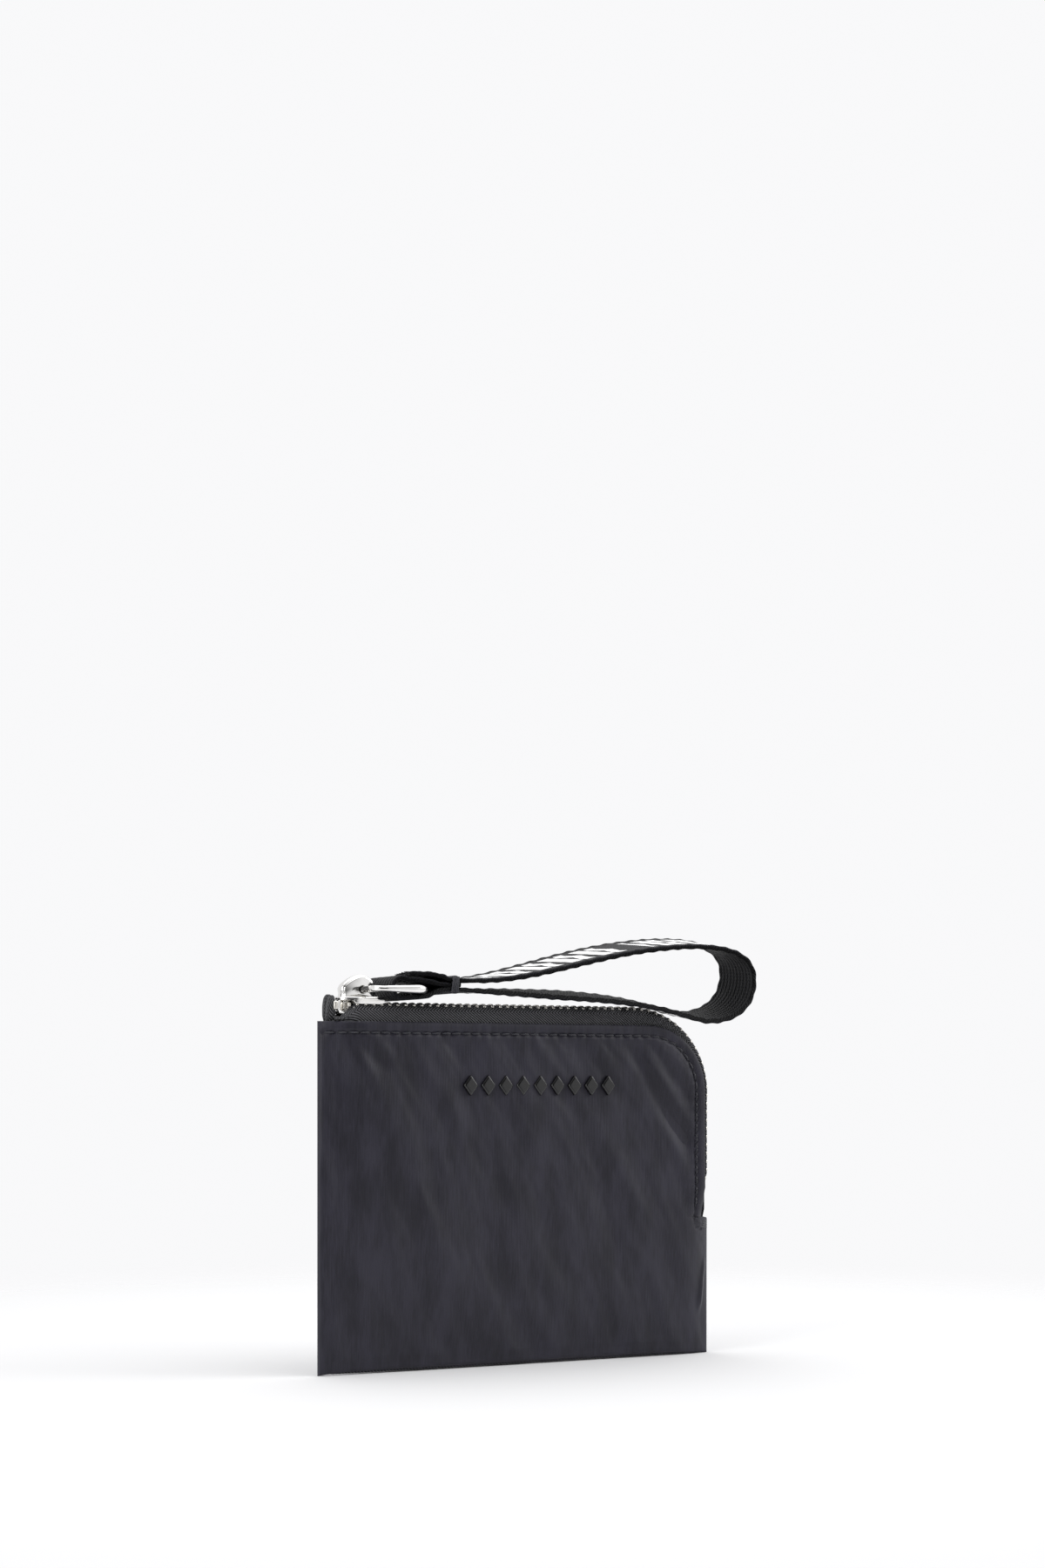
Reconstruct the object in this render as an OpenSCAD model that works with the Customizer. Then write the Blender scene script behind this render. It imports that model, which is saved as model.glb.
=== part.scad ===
// Zippered pouch: two fabric panels round an L-shaped metal zip, with a
// wrist strap on the slider's ring. X runs along the width, Y to the back,
// Z up, and the origin is under the middle of the bottom seam.

/* [Pouch] */
// Width across the side seams
pouch_w = 130; // [110:1:170]
// Height of the front panel's hemmed edge
panel_h = 100.5; // [90:0.5:130]
// Thickness of the filled pouch
pouch_d = 11.8; // [11.4:0.1:16]
// Shell fabric with its interlining
shell_t = 0.8; // [0.5:0.1:0.8]
// Lining fabric
lining_t = 0.3; // [0.2:0.1:0.4]
// Corner radius of the hemmed edge
hem_r = 20; // [14:1:24]
// Height of the notch where the zip ends
notch_z = 41.5; // [30:0.5:55]
// How far the hemmed edge stands in from the side seam
hem_inset = 4; // [3.5:0.5:6]

/* [Zip] */
// Height of the chain's middle over the hemmed edge
chain_over_hem = 4.5; // [4:0.5:6]
// Radius of the chain's corner, at its middle
chain_r = 27; // [22:1:34]
// Width of the closed chain
chain_w = 6; // [5.5:0.5:6.5]
// Height of a tooth
tooth_h = 2.4; // [2:0.1:2.6]
// Pitch of the teeth on one tape
tooth_pitch = 2.54; // [2:0.01:3]
// Length of a tooth along the chain
tooth_l = 1.2; // [0.8:0.1:1.6]
// Tape thickness
tape_t = 0.4; // [0.3:0.1:0.5]
// Width of the slot that the slider's wedge runs in
wedge_slot = 1.2; // [1:0.1:1.6]

/* [Slider] */
// Length of the slider
slider_l = 13.6; // [13:0.2:14]
// Width of the slider's top plate
slider_w = 9.2; // [9:0.1:10]
// Thickness of the top and bottom plates
plate_t = 1.1; // [0.8:0.1:1.4]
// Radius of the hole for the ring's bar
crown_hole_r = 1.2; // [1.1:0.1:1.4]
// Height of the crown over the bar's axis
crown_rise = 4.4; // [3.6:0.1:5]
// Width of the crown
crown_w = 4.4; // [3.6:0.2:5]

/* [Ring] */
// Length of the ring between its two bars' axes
ring_l = 15.7; // [14:0.1:20]
// Width of the ring between its arms' axes
ring_w = 23.6; // [23:0.2:30]
// Wire radius of the ring's arms and far bar
wire_r = 1.25; // [1:0.05:1.4]
// Wire radius of the bar in the slider
bar_r = 0.95; // [0.8:0.05:1]
// Corner radius of the ring, at the wire's middle
ring_corner_r = 3; // [2.5:0.1:4]

/* [Wrist strap] */
// Width of the webbing
strap_w = 20; // [15:1:20]
// Thickness of the webbing
strap_t = 1.2; // [0.8:0.1:1.4]
// How far the loop is rolled out of level
strap_roll = 8.5; // [0:0.5:12]
// Reach of the loop beyond the side seam
loop_reach = 11.6; // [8:0.2:20]

/* [Emblem] */
// Number of lozenge studs
stud_n = 9; // [5:1:11]
// Height of a stud
stud_h = 6.2; // [4:0.2:8]
// How far the studs stand proud
stud_t = 1.1; // [0.6:0.1:1.4]

/* [Stitching] */
// Stitch length, pitch included
stitch_pitch = 3.2; // [2.5:0.1:4]
// Thread radius
thread_r = 0.25; // [0.15:0.05:0.3]
// Distance of the stitch line from the hemmed edge
stitch_inset = 3.2; // [2.5:0.1:4]

/* [Hidden] */
$fn = 48;

hair = 0.05;            // gap between cloth faces that lie together
side_x = pouch_w / 2;
half_d = pouch_d / 2;
seam_half = shell_t + 0.02;
hem_x = side_x - hem_inset;
hem_cx = hem_x - hem_r;
hem_cz = panel_h - hem_r;
chain_z = panel_h + chain_over_hem;
chain_x = side_x - 1;
chain_cx = chain_x - chain_r;
chain_cz = chain_z - chain_r;
chain_top = chain_z + tooth_h / 2;
stop_z = notch_z + 3;

// The pouch's swell: seams are flat, and the middle and the mouth are full.
base_share = 0.33;      // share of the swell that the bottom seam keeps
left_run_low = 45;      // width of the swell's ramp at the bottom left
left_run_high = 14;     // and at the mouth
right_run = 12;
bottom_run = 55;

function rise(t) = let(u = min(max(t, 0), 1)) u * (2 - u);
function left_run(z) = left_run_low + (left_run_high - left_run_low) * z / panel_h;
function seam_gap(x, z) = norm([side_x - x, max(0, z - notch_z)]);
function half_depth(x, z) = seam_half + (half_d - seam_half)
  * rise((x + side_x) / left_run(z))
  * rise(seam_gap(x, z) / right_run)
  * (base_share + (1 - base_share) * rise(z / bottom_run));

// Right end of the panel's row at height z.
function row_end(z) = z <= notch_z ? side_x
  : z <= hem_cz ? hem_x
  : hem_cx + sqrt(max(0, hem_r * hem_r - (z - hem_cz) * (z - hem_cz)));

step = 0.8;             // height of the notch's slanted step
arc_rows = 6;
panel_rows = concat(
  [for (k = [0 : 6]) notch_z * k / 6],
  [for (k = [0 : 4]) notch_z + step + (hem_cz - notch_z - step) * k / 4],
  [for (k = [1 : arc_rows]) hem_cz + hem_r * sin(90 * k / arc_rows)]);
panel_cols = 14;

// A cloth sheet of thickness t that follows the swell. depth is how far it
// lies under the pouch's face, margin draws its edges in from the seams, and
// least is what it keeps clear of the pouch's middle plane.
module sheet(depth, t, margin, least, side) {
  nr = len(panel_rows);
  nc = panel_cols;
  grid = [for (z = panel_rows) let(zz = margin + z * (panel_h - 2 * margin) / panel_h)
    [for (c = [0 : nc]) let(a = -side_x + margin, b = row_end(z) - margin)
      [a + (b - a) * c / nc, zz]]];
  w = nc + 1;
  n = nr * w;
  function face(p) = max(half_depth(p[0], p[1]) - depth, least + t);
  pts = [for (under = [0, t]) for (row = grid) for (p = row)
    [p[0], -side * (face(p) - under), p[1]]];
  skin = [for (r = [0 : nr - 2]) for (c = [0 : nc - 1])
    let(i = r * w + c) each [[i, i + w, i + w + 1], [i, i + w + 1, i + 1]]];
  back = [for (t = skin) [t[0] + n, t[2] + n, t[1] + n]];
  ring = concat([for (c = [0 : nc - 1]) c],
    [for (r = [0 : nr - 2]) r * w + nc],
    [for (c = [nc : -1 : 1]) (nr - 1) * w + c],
    [for (r = [nr - 1 : -1 : 1]) r * w]);
  m = len(ring);
  rim = [for (k = [0 : m - 1]) let(a = ring[k], b = ring[(k + 1) % m])
    each [[a, b, b + n], [a, b + n, a + n]]];
  faces = concat(skin, back, rim);
  polyhedron(pts, side > 0 ? faces : [for (f = faces) [f[2], f[1], f[0]]]);
}

module front_panel() { color("#37373d") sheet(0, shell_t, 0, 0, 1); }

module back_panel() { color("#37373d") sheet(0, shell_t, 0, 0, -1); }

lining_in = shell_t + tape_t + 0.3;     // under the shell and the tape
lining_margin = 5;

module front_lining() { color("#1d1d20") sheet(lining_in, lining_t, lining_margin, hair, 1); }

module back_lining() { color("#1d1d20") sheet(lining_in, lining_t, lining_margin, hair, -1); }

// The bound raw edges inside the bottom seam, which the pouch stands on.
module bottom_seam_binding() {
  h = lining_margin - 2;
  run = side_x - 4;
  xs = [for (k = [0 : 16]) -run + 2 * run * k / 16];
  function half(x) = half_depth(x, 0) - shell_t - 6 * hair;
  color("#202024") linear_extrude(h)
    polygon(concat([for (x = xs) [x, -half(x)]],
      [for (k = [16 : -1 : 0]) [xs[k], half(xs[k])]]));
}

// The tape's section: x is the distance in from the chain, y the depth.
tape_edge = chain_w / 2 + hair;
tape_side = half_d - shell_t - 0.15;
tape_in = 11.5;               // how far the tape reaches in from the chain
tape_left = -side_x + 3.6;
deep_left = -side_x + 17;     // where the mouth is full enough for the whole tape
deep_low = notch_z + 11;
narrow_top = chain_over_hem - 0.3;
narrow_side = 2.6;            // what shows of the tape beside the notch

module tape_section(in) {
  t = tape_t;
  intersection() {
    polygon([[-t / 2, tape_edge], [-t / 2, tape_edge + 0.8],
      [0.9, tape_side - 0.45], [4.4, tape_side - 0.1], [tape_in, tape_side],
      [tape_in, tape_side - t], [4.4, tape_side - t - 0.1],
      [1.2, tape_side - t - 0.45], [t / 2, tape_edge + 0.55], [t / 2, tape_edge]]);
    translate([-1, 0]) square([in + 1, half_d]);
  }
}

module tape_run_top(x0, x1, in) {
  translate([x0, 0, chain_z]) rotate([0, 90, 0]) linear_extrude(x1 - x0) tape_section(in);
}

module tape_run_side(z0, z1, in) {
  translate([chain_x, 0, z0]) linear_extrude(z1 - z0) mirror([1, 0]) tape_section(in);
}

module zip_tape() {
  union() {
    tape_run_top(tape_left, deep_left, narrow_top);
    tape_run_top(deep_left, chain_cx, tape_in);
    translate([chain_cx, 0, chain_cz]) mirror([0, 1, 0]) rotate([90, 0, 0])
      rotate_extrude(angle = 90)
        translate([chain_r, 0]) mirror([1, 0]) tape_section(tape_in);
    tape_run_side(deep_low, chain_cz, tape_in);
    tape_run_side(notch_z + 1.5, deep_low, narrow_side);
  }
}

module front_zip_tape() { color("#161618") mirror([0, 1, 0]) zip_tape(); }

module back_zip_tape() { color("#161618") zip_tape(); }

// Teeth stand across the chain, short of its middle by half the wedge's slot.
first_tooth = -side_x + 8.5;
top_run = chain_cx - first_tooth;
corner_run = chain_r * PI / 2;
side_run = chain_cz - stop_z - 2;

module tooth() {
  w = chain_w / 2 - wedge_slot / 2;
  translate([-tooth_l / 2, wedge_slot / 2, -tooth_h / 2]) cube([tooth_l, w, tooth_h]);
}

// Puts a child at distance s along the chain's middle line.
module on_chain(s) {
  if (s <= top_run)
    translate([first_tooth + s, 0, chain_z]) children();
  else if (s <= top_run + corner_run)
    translate([chain_cx, 0, chain_cz]) rotate([0, (s - top_run) / chain_r * 180 / PI, 0])
      translate([0, 0, chain_r]) children();
  else
    translate([chain_x, 0, chain_cz - (s - top_run - corner_run)])
      rotate([0, 90, 0]) children();
}

module teeth(shift) {
  for (s = [shift : tooth_pitch : top_run + corner_run + side_run]) on_chain(s) tooth();
}

module front_teeth() { color("#c9c9cc") mirror([0, 1, 0]) teeth(0); }

module back_teeth() { color("#c9c9cc") teeth(tooth_pitch / 2); }

stop_l = 1.4;
module top_stops() {
  w = chain_w / 2 - wedge_slot;
  x = -side_x + 3.8;
  color("#c9c9cc") for (side = [-1, 1])
    translate([x, side * (wedge_slot + w / 2) - w / 2, chain_z - tooth_h / 2])
      cube([stop_l, w, tooth_h]);
}

module bottom_stop() {
  t = tooth_h + 0.4;
  color("#c9c9cc") translate([chain_x - t / 2, -chain_w / 2 + 0.1, notch_z + 1.6])
    cube([t, chain_w - 0.2, stop_z - notch_z - 1.6 + 0.6]);
}

// The tapes' ends, each folded down on itself at the left of the mouth.
fold_r = 1.45;
module tape_end_folds() {
  x = -side_x + 1.9;
  low = panel_h + fold_r + 0.3;
  high = chain_z + 1;
  color("#161618") for (side = [-1, 1]) translate([x, side * 1.9, 0]) union() {
    translate([0, 0, low]) sphere(fold_r);
    translate([0, 0, high]) sphere(fold_r);
    translate([0, 0, low]) cylinder(h = high - low, r = fold_r);
  }
}

// Thread: a short round bar between two points.
module thread(a, b, r) {
  d = b - a;
  l = norm(d);
  translate(a) rotate([0, acos(d[2] / l), atan2(d[1], d[0])]) cylinder(h = l, r = r, $fn = 16);
}

// A point on the front face's outer side, clear of it by gap.
function on_face(x, z, gap) = [x, -half_depth(x, z) - gap, z];

// The stitch line runs along the hem, round its corner and down to the notch.
sew_r = hem_r - stitch_inset;
sew_left = -side_x + 1.5;
sew_top = hem_cx - sew_left;
sew_arc = sew_r * PI / 2;
sew_side = hem_cz - notch_z - 1;
function sew_at(s) = s <= sew_top ? [sew_left + s, panel_h - stitch_inset]
  : s <= sew_top + sew_arc
    ? let(a = 90 - (s - sew_top) / sew_r * 180 / PI)
      [hem_cx + sew_r * cos(a), hem_cz + sew_r * sin(a)]
  : [hem_x - stitch_inset, hem_cz - (s - sew_top - sew_arc)];

module topstitch() {
  for (s = [0 : stitch_pitch : sew_top + sew_arc + sew_side - stitch_pitch]) {
    p = sew_at(s);
    q = sew_at(s + stitch_pitch * 0.72);
    thread(on_face(p[0], p[1], thread_r), on_face(q[0], q[1], thread_r), thread_r);
  }
}

module front_topstitch() { color("#101012") topstitch(); }

module back_topstitch() { color("#101012") mirror([0, 1, 0]) topstitch(); }

// Short tacks across the seam where the zip goes in at the notch.
tack_n = 4;
module side_bartacks() {
  color("#101012") for (m = [0, 1]) mirror([0, m, 0])
    for (k = [0 : tack_n - 1]) let(z = notch_z - 0.6 - k * 0.7)
      thread(on_face(hem_x - 0.2, z, 0.3), on_face(side_x - 0.2, z, 0.3), 0.3);
}

// A row of lozenges on the front, in place of lettering.
row_x = 3.3;
row_z = 82.3;
stud_pitch = 5.75;
module emblem_studs() {
  w = stud_pitch - 1;
  y = -half_d - 0.02;
  color("#0b0b0d") for (k = [0 : stud_n - 1])
    translate([row_x + (k - (stud_n - 1) / 2) * stud_pitch, y, row_z])
      rotate([90, 0, 0]) linear_extrude(stud_t)
        polygon([[-w / 2, 0], [0, -stud_h / 2], [w / 2, 0], [0, stud_h / 2]]);
}

// The slider: two plates joined by the wedge at its nose.
gap = 0.2;                          // running clearance round the chain
nose_x = -side_x + 5.4;
tail_x = nose_x + slider_l;
top_z = chain_top + gap;            // underside of the top plate
low_z = chain_z - tooth_h / 2 - gap;
deck_z = top_z + plate_t;
ring_z = deck_z + 2.1;              // axis of the ring's bars
bar_x = nose_x + 7.6;
far_x = bar_x + ring_l;
wedge_w = wedge_slot - 0.3;
wedge_l = 2;
low_w = chain_w + 0.9;              // the bottom plate is narrow, inside the tapes

nose_r = 2.4;
module plate(w, h) {
  linear_extrude(h) union() {
    translate([nose_x + nose_r, -w / 2 + nose_r]) circle(nose_r);
    translate([nose_x + nose_r, w / 2 - nose_r]) circle(nose_r);
    translate([nose_x, -w / 2 + nose_r]) square([nose_r, w - 2 * nose_r]);
    translate([nose_x + nose_r, -w / 2]) square([slider_l - nose_r, w]);
  }
}

module slider_body() {
  lip_top = top_z - chain_z - tape_t / 2 - gap;
  lip_low = chain_z - tape_t / 2 - gap - low_z;
  inner = chain_w / 2 + 0.15;
  pin_hole = pin_w + 0.5;
  color("#d9d9dc") difference() {
    union() {
      translate([0, 0, top_z]) plate(slider_w, plate_t);
      translate([0, 0, low_z - plate_t]) plate(low_w, plate_t);
      for (side = [-1, 1]) {
        y = side > 0 ? inner : -slider_w / 2;
        translate([nose_x + nose_r, y, top_z - lip_top])
          cube([slider_l - nose_r, slider_w / 2 - inner, lip_top + hair]);
        v = side > 0 ? inner : -low_w / 2;
        translate([nose_x + nose_r, v, low_z - hair])
          cube([slider_l - nose_r, low_w / 2 - inner, lip_low + hair]);
      }
      translate([nose_x + 0.4, -wedge_w / 2, low_z - hair])
        cube([wedge_l, wedge_w, top_z - low_z + 2 * hair]);
    }
    translate([pin_x - pin_hole / 2, -pin_hole / 2, top_z - 1])
      cube([pin_hole, pin_hole, plate_t + 2]);
  }
}

// The crown: a domed cover over the lock, with a round hole for the bar.
crown_wall = 0.8;
module crown_outline(grow) {
  union() {
    translate([bar_x, ring_z]) circle(crown_rise + grow);
    translate([bar_x - 4.2, ring_z]) circle(2.3 + grow);
    polygon([[bar_x - 0.5 * crown_rise, ring_z + 0.866 * crown_rise + grow],
      [bar_x - 4.9, ring_z + 2.2 + grow], [bar_x, ring_z]]);
    translate([bar_x - 6.5 - grow, deck_z - 1])
      square([6.5 + crown_rise + 2 * grow, ring_z - deck_z + 1]);
  }
}

module crown_slab(grow, w) {
  translate([0, w / 2, 0]) rotate([90, 0, 0]) linear_extrude(w) crown_outline(grow);
}

module slider_crown() {
  color("#dededf") difference() {
    crown_slab(0, crown_w);
    crown_slab(-crown_wall, crown_w - 2 * crown_wall);
    translate([nose_x - 5, -5, deck_z - 5 + hair]) cube([slider_l + 10, 10, 5]);
    translate([bar_x, 5, ring_z]) rotate([90, 0, 0]) cylinder(h = 10, r = crown_hole_r);
  }
}

// The lock: a leaf spring under the crown presses the pin into the chain.
pin_w = 0.7;
pin_x = bar_x - 3.6;
pin_lift = 0.8;
spring_t = 0.3;
spring_back = 1.2;                  // from the pin to the spring's foot
spring_w = crown_w - 2 * crown_wall - 0.4;
pin_top = ring_z + 0.1;

module lock_spring() {
  z = pin_top + pin_lift + 0.1;
  color("#b9b9bd") translate([0, spring_w / 2, 0]) rotate([90, 0, 0]) linear_extrude(spring_w)
    union() {
      translate([pin_x - spring_back, z]) square([3, spring_t]);
      translate([pin_x - spring_back, deck_z + 2 * hair]) square([spring_t, z - deck_z]);
    }
}

module lock_pin() {
  color("#b9b9bd") union() {
    translate([pin_x - pin_w / 2, -pin_w / 2, chain_z + 0.4])
      cube([pin_w, pin_w, pin_top - chain_z - 0.4]);
    translate([pin_x - 0.6, -pin_w / 2, pin_top - 0.4]) cube([1.8, pin_w, 0.4]);
  }
}

// The ring: a bar in the slider, two arms and the bar that holds the strap.
module bar(x, r) {
  run = ring_w - 2 * ring_corner_r;
  translate([x, run / 2, ring_z]) rotate([90, 0, 0]) cylinder(h = run, r = r);
}

module ring_corner(x, y, turn, r) {
  translate([x, y, ring_z]) rotate([0, 0, turn]) rotate_extrude(angle = 90)
    translate([ring_corner_r, 0]) circle(r);
}

module puller_ring() {
  c = ring_corner_r;
  y = ring_w / 2;
  color("#e2e2e4") union() {
    bar(bar_x, bar_r);
    bar(far_x, wire_r);
    for (side = [-1, 1]) {
      translate([bar_x + c, side * y, ring_z]) rotate([0, 90, 0])
        cylinder(h = ring_l - 2 * c, r1 = bar_r, r2 = wire_r);
      ring_corner(bar_x + c, side * (y - c), side > 0 ? 90 : 180, bar_r);
      ring_corner(far_x - c, side * (y - c), side > 0 ? 0 : -90, wire_r);
    }
  }
}

// The webbing's fold round the far bar, and the sewn layers beyond it.
fold_low = chain_top + 0.4;
fold_high = ring_z + wire_r + 0.9 + strap_t;
fold_r_out = (fold_high - fold_low) / 2;
fold_left = bar_x + crown_rise + 1.1;
fold_c = [fold_left + fold_r_out, (fold_low + fold_high) / 2];
hinge_x = far_x + 11.8;
lower_z = ring_z + 0.3;             // middle of the loop's lower leg
upper_z = lower_z + 2 * strap_t + 0.3;
lay = 0.05;                         // air between sewn layers
stack_r = strap_t + lay / 2;
stack_c = [far_x + 6.8, lower_z + strap_t / 2 + lay / 2];
module strap_width() {
  translate([0, strap_w / 2, 0]) rotate([90, 0, 0]) linear_extrude(strap_w) children();
}

// A point on a circle, and the half angle at which two circles' common
// tangents touch them.
function on_circle(c, r, a) = c + r * [cos(a), sin(a)];
function tangent_half(a, ra, b, rb) = acos((ra - rb) / norm(b - a));

// The direction from one centre to another.
function aim(a, b) = atan2(b[1] - a[1], b[0] - a[0]);

// A bight of webbing: round the fold's end, past the far bar and on to the
// stack. grow is what the outline stands outside the webbing's inner face.
far_c = [far_x + 0.2, ring_z];
far_r = wire_r + 0.3;
module bight(grow, rs, end_x) {
  ra = fold_r_out - strap_t + grow;
  rb = far_r + grow;
  t = aim(fold_c, far_c);
  k = tangent_half(fold_c, ra, far_c, rb);
  u = aim(far_c, stack_c);
  m = tangent_half(far_c, rb, stack_c, rs);
  polygon(concat(
    [for (j = [0 : 24]) on_circle(fold_c, ra, t + k + (360 - 2 * k) * j / 24)],
    [for (j = [0 : 3]) on_circle(far_c, rb, (t - k) + (u - m - t + k) * j / 3)],
    [on_circle(stack_c, rs, u - m), [end_x, stack_c[1] - rs],
      [end_x, stack_c[1] + rs], on_circle(stack_c, rs, u + m)],
    [on_circle(far_c, rb, (t + k + u + m) / 2)]));
}

module strap_anchor_fold() {
  color("#19191b") strap_width() difference() {
    bight(strap_t, stack_r, hinge_x);
    bight(0, 2 * lay, stack_c[0] + 0.5);
  }
}

end_left = far_x - 4.6;
module strap_top_end() {
  z = upper_z - strap_t / 2 + 2 * lay;
  lift = fold_high + lay;
  bend = far_x + 3.8;
  land = far_x + 8.6;
  color("#19191b") strap_width() polygon([[end_left, lift], [bend, lift], [land, z],
    [hinge_x, z], [hinge_x, z + strap_t], [land, z + strap_t],
    [bend, lift + strap_t], [end_left, lift + strap_t]]);
}

strap_tack_n = 13;
module strap_bar_tack() {
  x0 = far_x + 8.8;
  x1 = hinge_x - 0.8;
  top = upper_z + strap_t / 2 + 2 * lay + thread_r;
  low = lower_z - strap_t / 2 - thread_r;
  pitch = (strap_w - 2) / (strap_tack_n - 1);
  color("#0e0e10") for (k = [0 : strap_tack_n - 1], z = [top, low])
    let(y = -strap_w / 2 + 1 + k * pitch)
      thread([x0, y, z], [x1, y, z], thread_r);
}

// The loop's middle line, as four curves, each from two ends and two handles.
leg_x = hinge_x + 0.3;
out = side_x + loop_reach;
crest = upper_z + 13;
bend_low = lower_z - 6.6;
legs = [
  [[leg_x, upper_z], [leg_x + 24, upper_z + 0.3],
    [18, crest - 2.7], [out - 26.6, crest]],
  [[out - 26.6, crest], [out - 10.6, crest + 1.1],
    [out + 0.6, crest - 0.7], [out, upper_z + 2.8]],
  [[out, upper_z + 2.8], [out - 0.4, upper_z - 5.2],
    [out - 7.6, bend_low - 0.3], [out - 17.6, bend_low]],
  [[out - 17.6, bend_low], [out - 26.6, bend_low + 1.3],
    [44, lower_z - 1], [7, lower_z - 0.5]],
  [[7, lower_z - 0.5], [-3, lower_z - 0.2], [-13, lower_z], [leg_x, lower_z]]];
leg_steps = [9, 9, 9, 9, 3];

function curve(c, t) = let(u = 1 - t)
  u * u * u * c[0] + 3 * u * u * t * c[1] + 3 * u * t * t * c[2] + t * t * t * c[3];
loop = concat([legs[0][0]],
  [for (k = [0 : len(legs) - 1]) for (j = [1 : leg_steps[k]]) curve(legs[k], j / leg_steps[k])]);

// The webbing as one swept strip, rolled about its length once past the stack.
module wrist_strap() {
  n = len(loop);
  pts = [for (k = [0 : n - 1])
    let(a = loop[max(k - 1, 0)], b = loop[min(k + 1, n - 1)], d = (b - a) / norm(b - a),
      p = loop[k], up = [-d[1], d[0]] * strap_t / 2,
      roll = strap_roll * rise((p[0] - leg_x) / 50), w = strap_w / 2)
    each [for (c = [[-1, -1], [1, -1], [1, 1], [-1, 1]])
      [p[0] + c[1] * up[0], c[0] * w * cos(roll),
        p[1] + c[1] * up[1] + c[0] * w * sin(roll)]]];
  sides = [for (k = [0 : n - 2]) for (j = [0 : 3])
    let(a = 4 * k + j, b = 4 * k + (j + 1) % 4) each [[a, b, b + 4], [a, b + 4, a + 4]]];
  e = 4 * (n - 1);
  faces = concat([[0, 2, 1], [0, 3, 2]], sides, [[e, e + 1, e + 2], [e, e + 2, e + 3]]);
  color("#19191b") polyhedron(pts, faces);
}

front_panel();
back_panel();
front_lining();
back_lining();
bottom_seam_binding();
front_zip_tape();
back_zip_tape();
front_teeth();
back_teeth();
top_stops();
bottom_stop();
tape_end_folds();
front_topstitch();
back_topstitch();
side_bartacks();
emblem_studs();
slider_body();
slider_crown();
lock_spring();
lock_pin();
puller_ring();
strap_anchor_fold();
strap_top_end();
strap_bar_tack();
wrist_strap();
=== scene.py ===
import math
import random

import bmesh
import bpy
from bpy.props import FloatProperty, FloatVectorProperty, IntProperty, PointerProperty
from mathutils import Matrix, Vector, noise


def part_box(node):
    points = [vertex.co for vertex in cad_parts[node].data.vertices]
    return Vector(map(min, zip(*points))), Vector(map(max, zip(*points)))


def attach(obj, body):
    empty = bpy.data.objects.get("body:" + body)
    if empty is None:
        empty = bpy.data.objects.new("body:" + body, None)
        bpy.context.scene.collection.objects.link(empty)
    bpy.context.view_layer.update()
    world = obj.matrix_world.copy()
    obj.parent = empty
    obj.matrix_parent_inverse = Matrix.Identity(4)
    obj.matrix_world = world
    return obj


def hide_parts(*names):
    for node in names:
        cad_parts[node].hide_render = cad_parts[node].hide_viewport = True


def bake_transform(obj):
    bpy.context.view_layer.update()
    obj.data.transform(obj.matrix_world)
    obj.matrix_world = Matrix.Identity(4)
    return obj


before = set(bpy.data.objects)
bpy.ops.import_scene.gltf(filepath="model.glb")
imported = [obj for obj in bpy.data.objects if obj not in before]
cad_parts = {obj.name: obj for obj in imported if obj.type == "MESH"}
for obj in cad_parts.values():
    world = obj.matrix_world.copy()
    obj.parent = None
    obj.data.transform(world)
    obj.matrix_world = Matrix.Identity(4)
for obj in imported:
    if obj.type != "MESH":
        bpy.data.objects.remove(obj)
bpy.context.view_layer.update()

bl_info = {
    "name": "Zippered pouch",
    "version": (1, 0, 0),
    "blender": (4, 5, 0),
    "location": "View3D > Sidebar > Pouch",
    "description": "Cloth, zip, slider and wrist strap of a small pouch, built round its frame",
    "category": "Add Mesh",
}

# Lengths in the sums below are millimetres, and each mesh is written in metres.
MM = 0.001


def box_mm(node):
    """The lowest and highest corners of a node of the frame, in millimetres."""
    low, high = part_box(node)
    return [v / MM for v in low], [v / MM for v in high]


PANEL_LOW, PANEL_HIGH = box_mm("front_panel")
SIDE_X = PANEL_HIGH[0]
PANEL_H = PANEL_HIGH[2]
HALF_D = -PANEL_LOW[1]
TEETH_HIGH = box_mm("back_teeth")[1]
TOOTH_RISE = 1.2
CHAIN_Z = TEETH_HIGH[2] - TOOTH_RISE
CHAIN_X = TEETH_HIGH[0] - TOOTH_RISE
STOP_LOW, STOP_HIGH = box_mm("bottom_stop")
BODY_LOW, BODY_HIGH = box_mm("slider_body")
CROWN_LOW, CROWN_HIGH = box_mm("slider_crown")
RING_LOW, RING_HIGH = box_mm("puller_ring")
FOLD_LOW, FOLD_HIGH = box_mm("strap_anchor_fold")
END_LOW, END_HIGH = box_mm("strap_top_end")
STUD_LOW, STUD_HIGH = box_mm("emblem_studs")


# ---------------------------------------------------------------- settings

def length(name, text, millimetres, low=0.0, high=1.0):
    return FloatProperty(name=name, description=text, default=millimetres * MM,
                         min=low, max=high, unit="LENGTH", precision=5)


def colour(name, text, red, green, blue):
    return FloatVectorProperty(name=name, description=text, default=(red, green, blue),
                               min=0.0, max=1.0, size=3, subtype="COLOR")


class PouchCloth(bpy.types.PropertyGroup):
    """Sizes of the two panels and what is sewn to them."""

    hem_radius: length("Hem radius", "Corner radius of the hemmed edge", 20)
    hem_inset: length("Hem inset", "How far the hem stands in from the side seam", 4)
    notch: length("Notch height", "Height where the side seam gives way to the zip", 41.5)
    shell: length("Shell thickness", "Thickness of the shell fabric", 0.8)
    lining: length("Lining thickness", "Thickness of the lining", 0.3)
    seam_allowance: length("Seam allowance", "Cloth turned in at seams and hem", 5)
    grid: length("Grid", "Distance between the points of the cloth's mesh", 0.8)
    fold_height: FloatProperty(name="Folds", description="Strength of the soft folds",
                               default=1.15, min=0.0, max=3.0)
    seed: IntProperty(name="Seed", description="Changes the run of the folds", default=7)


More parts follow.
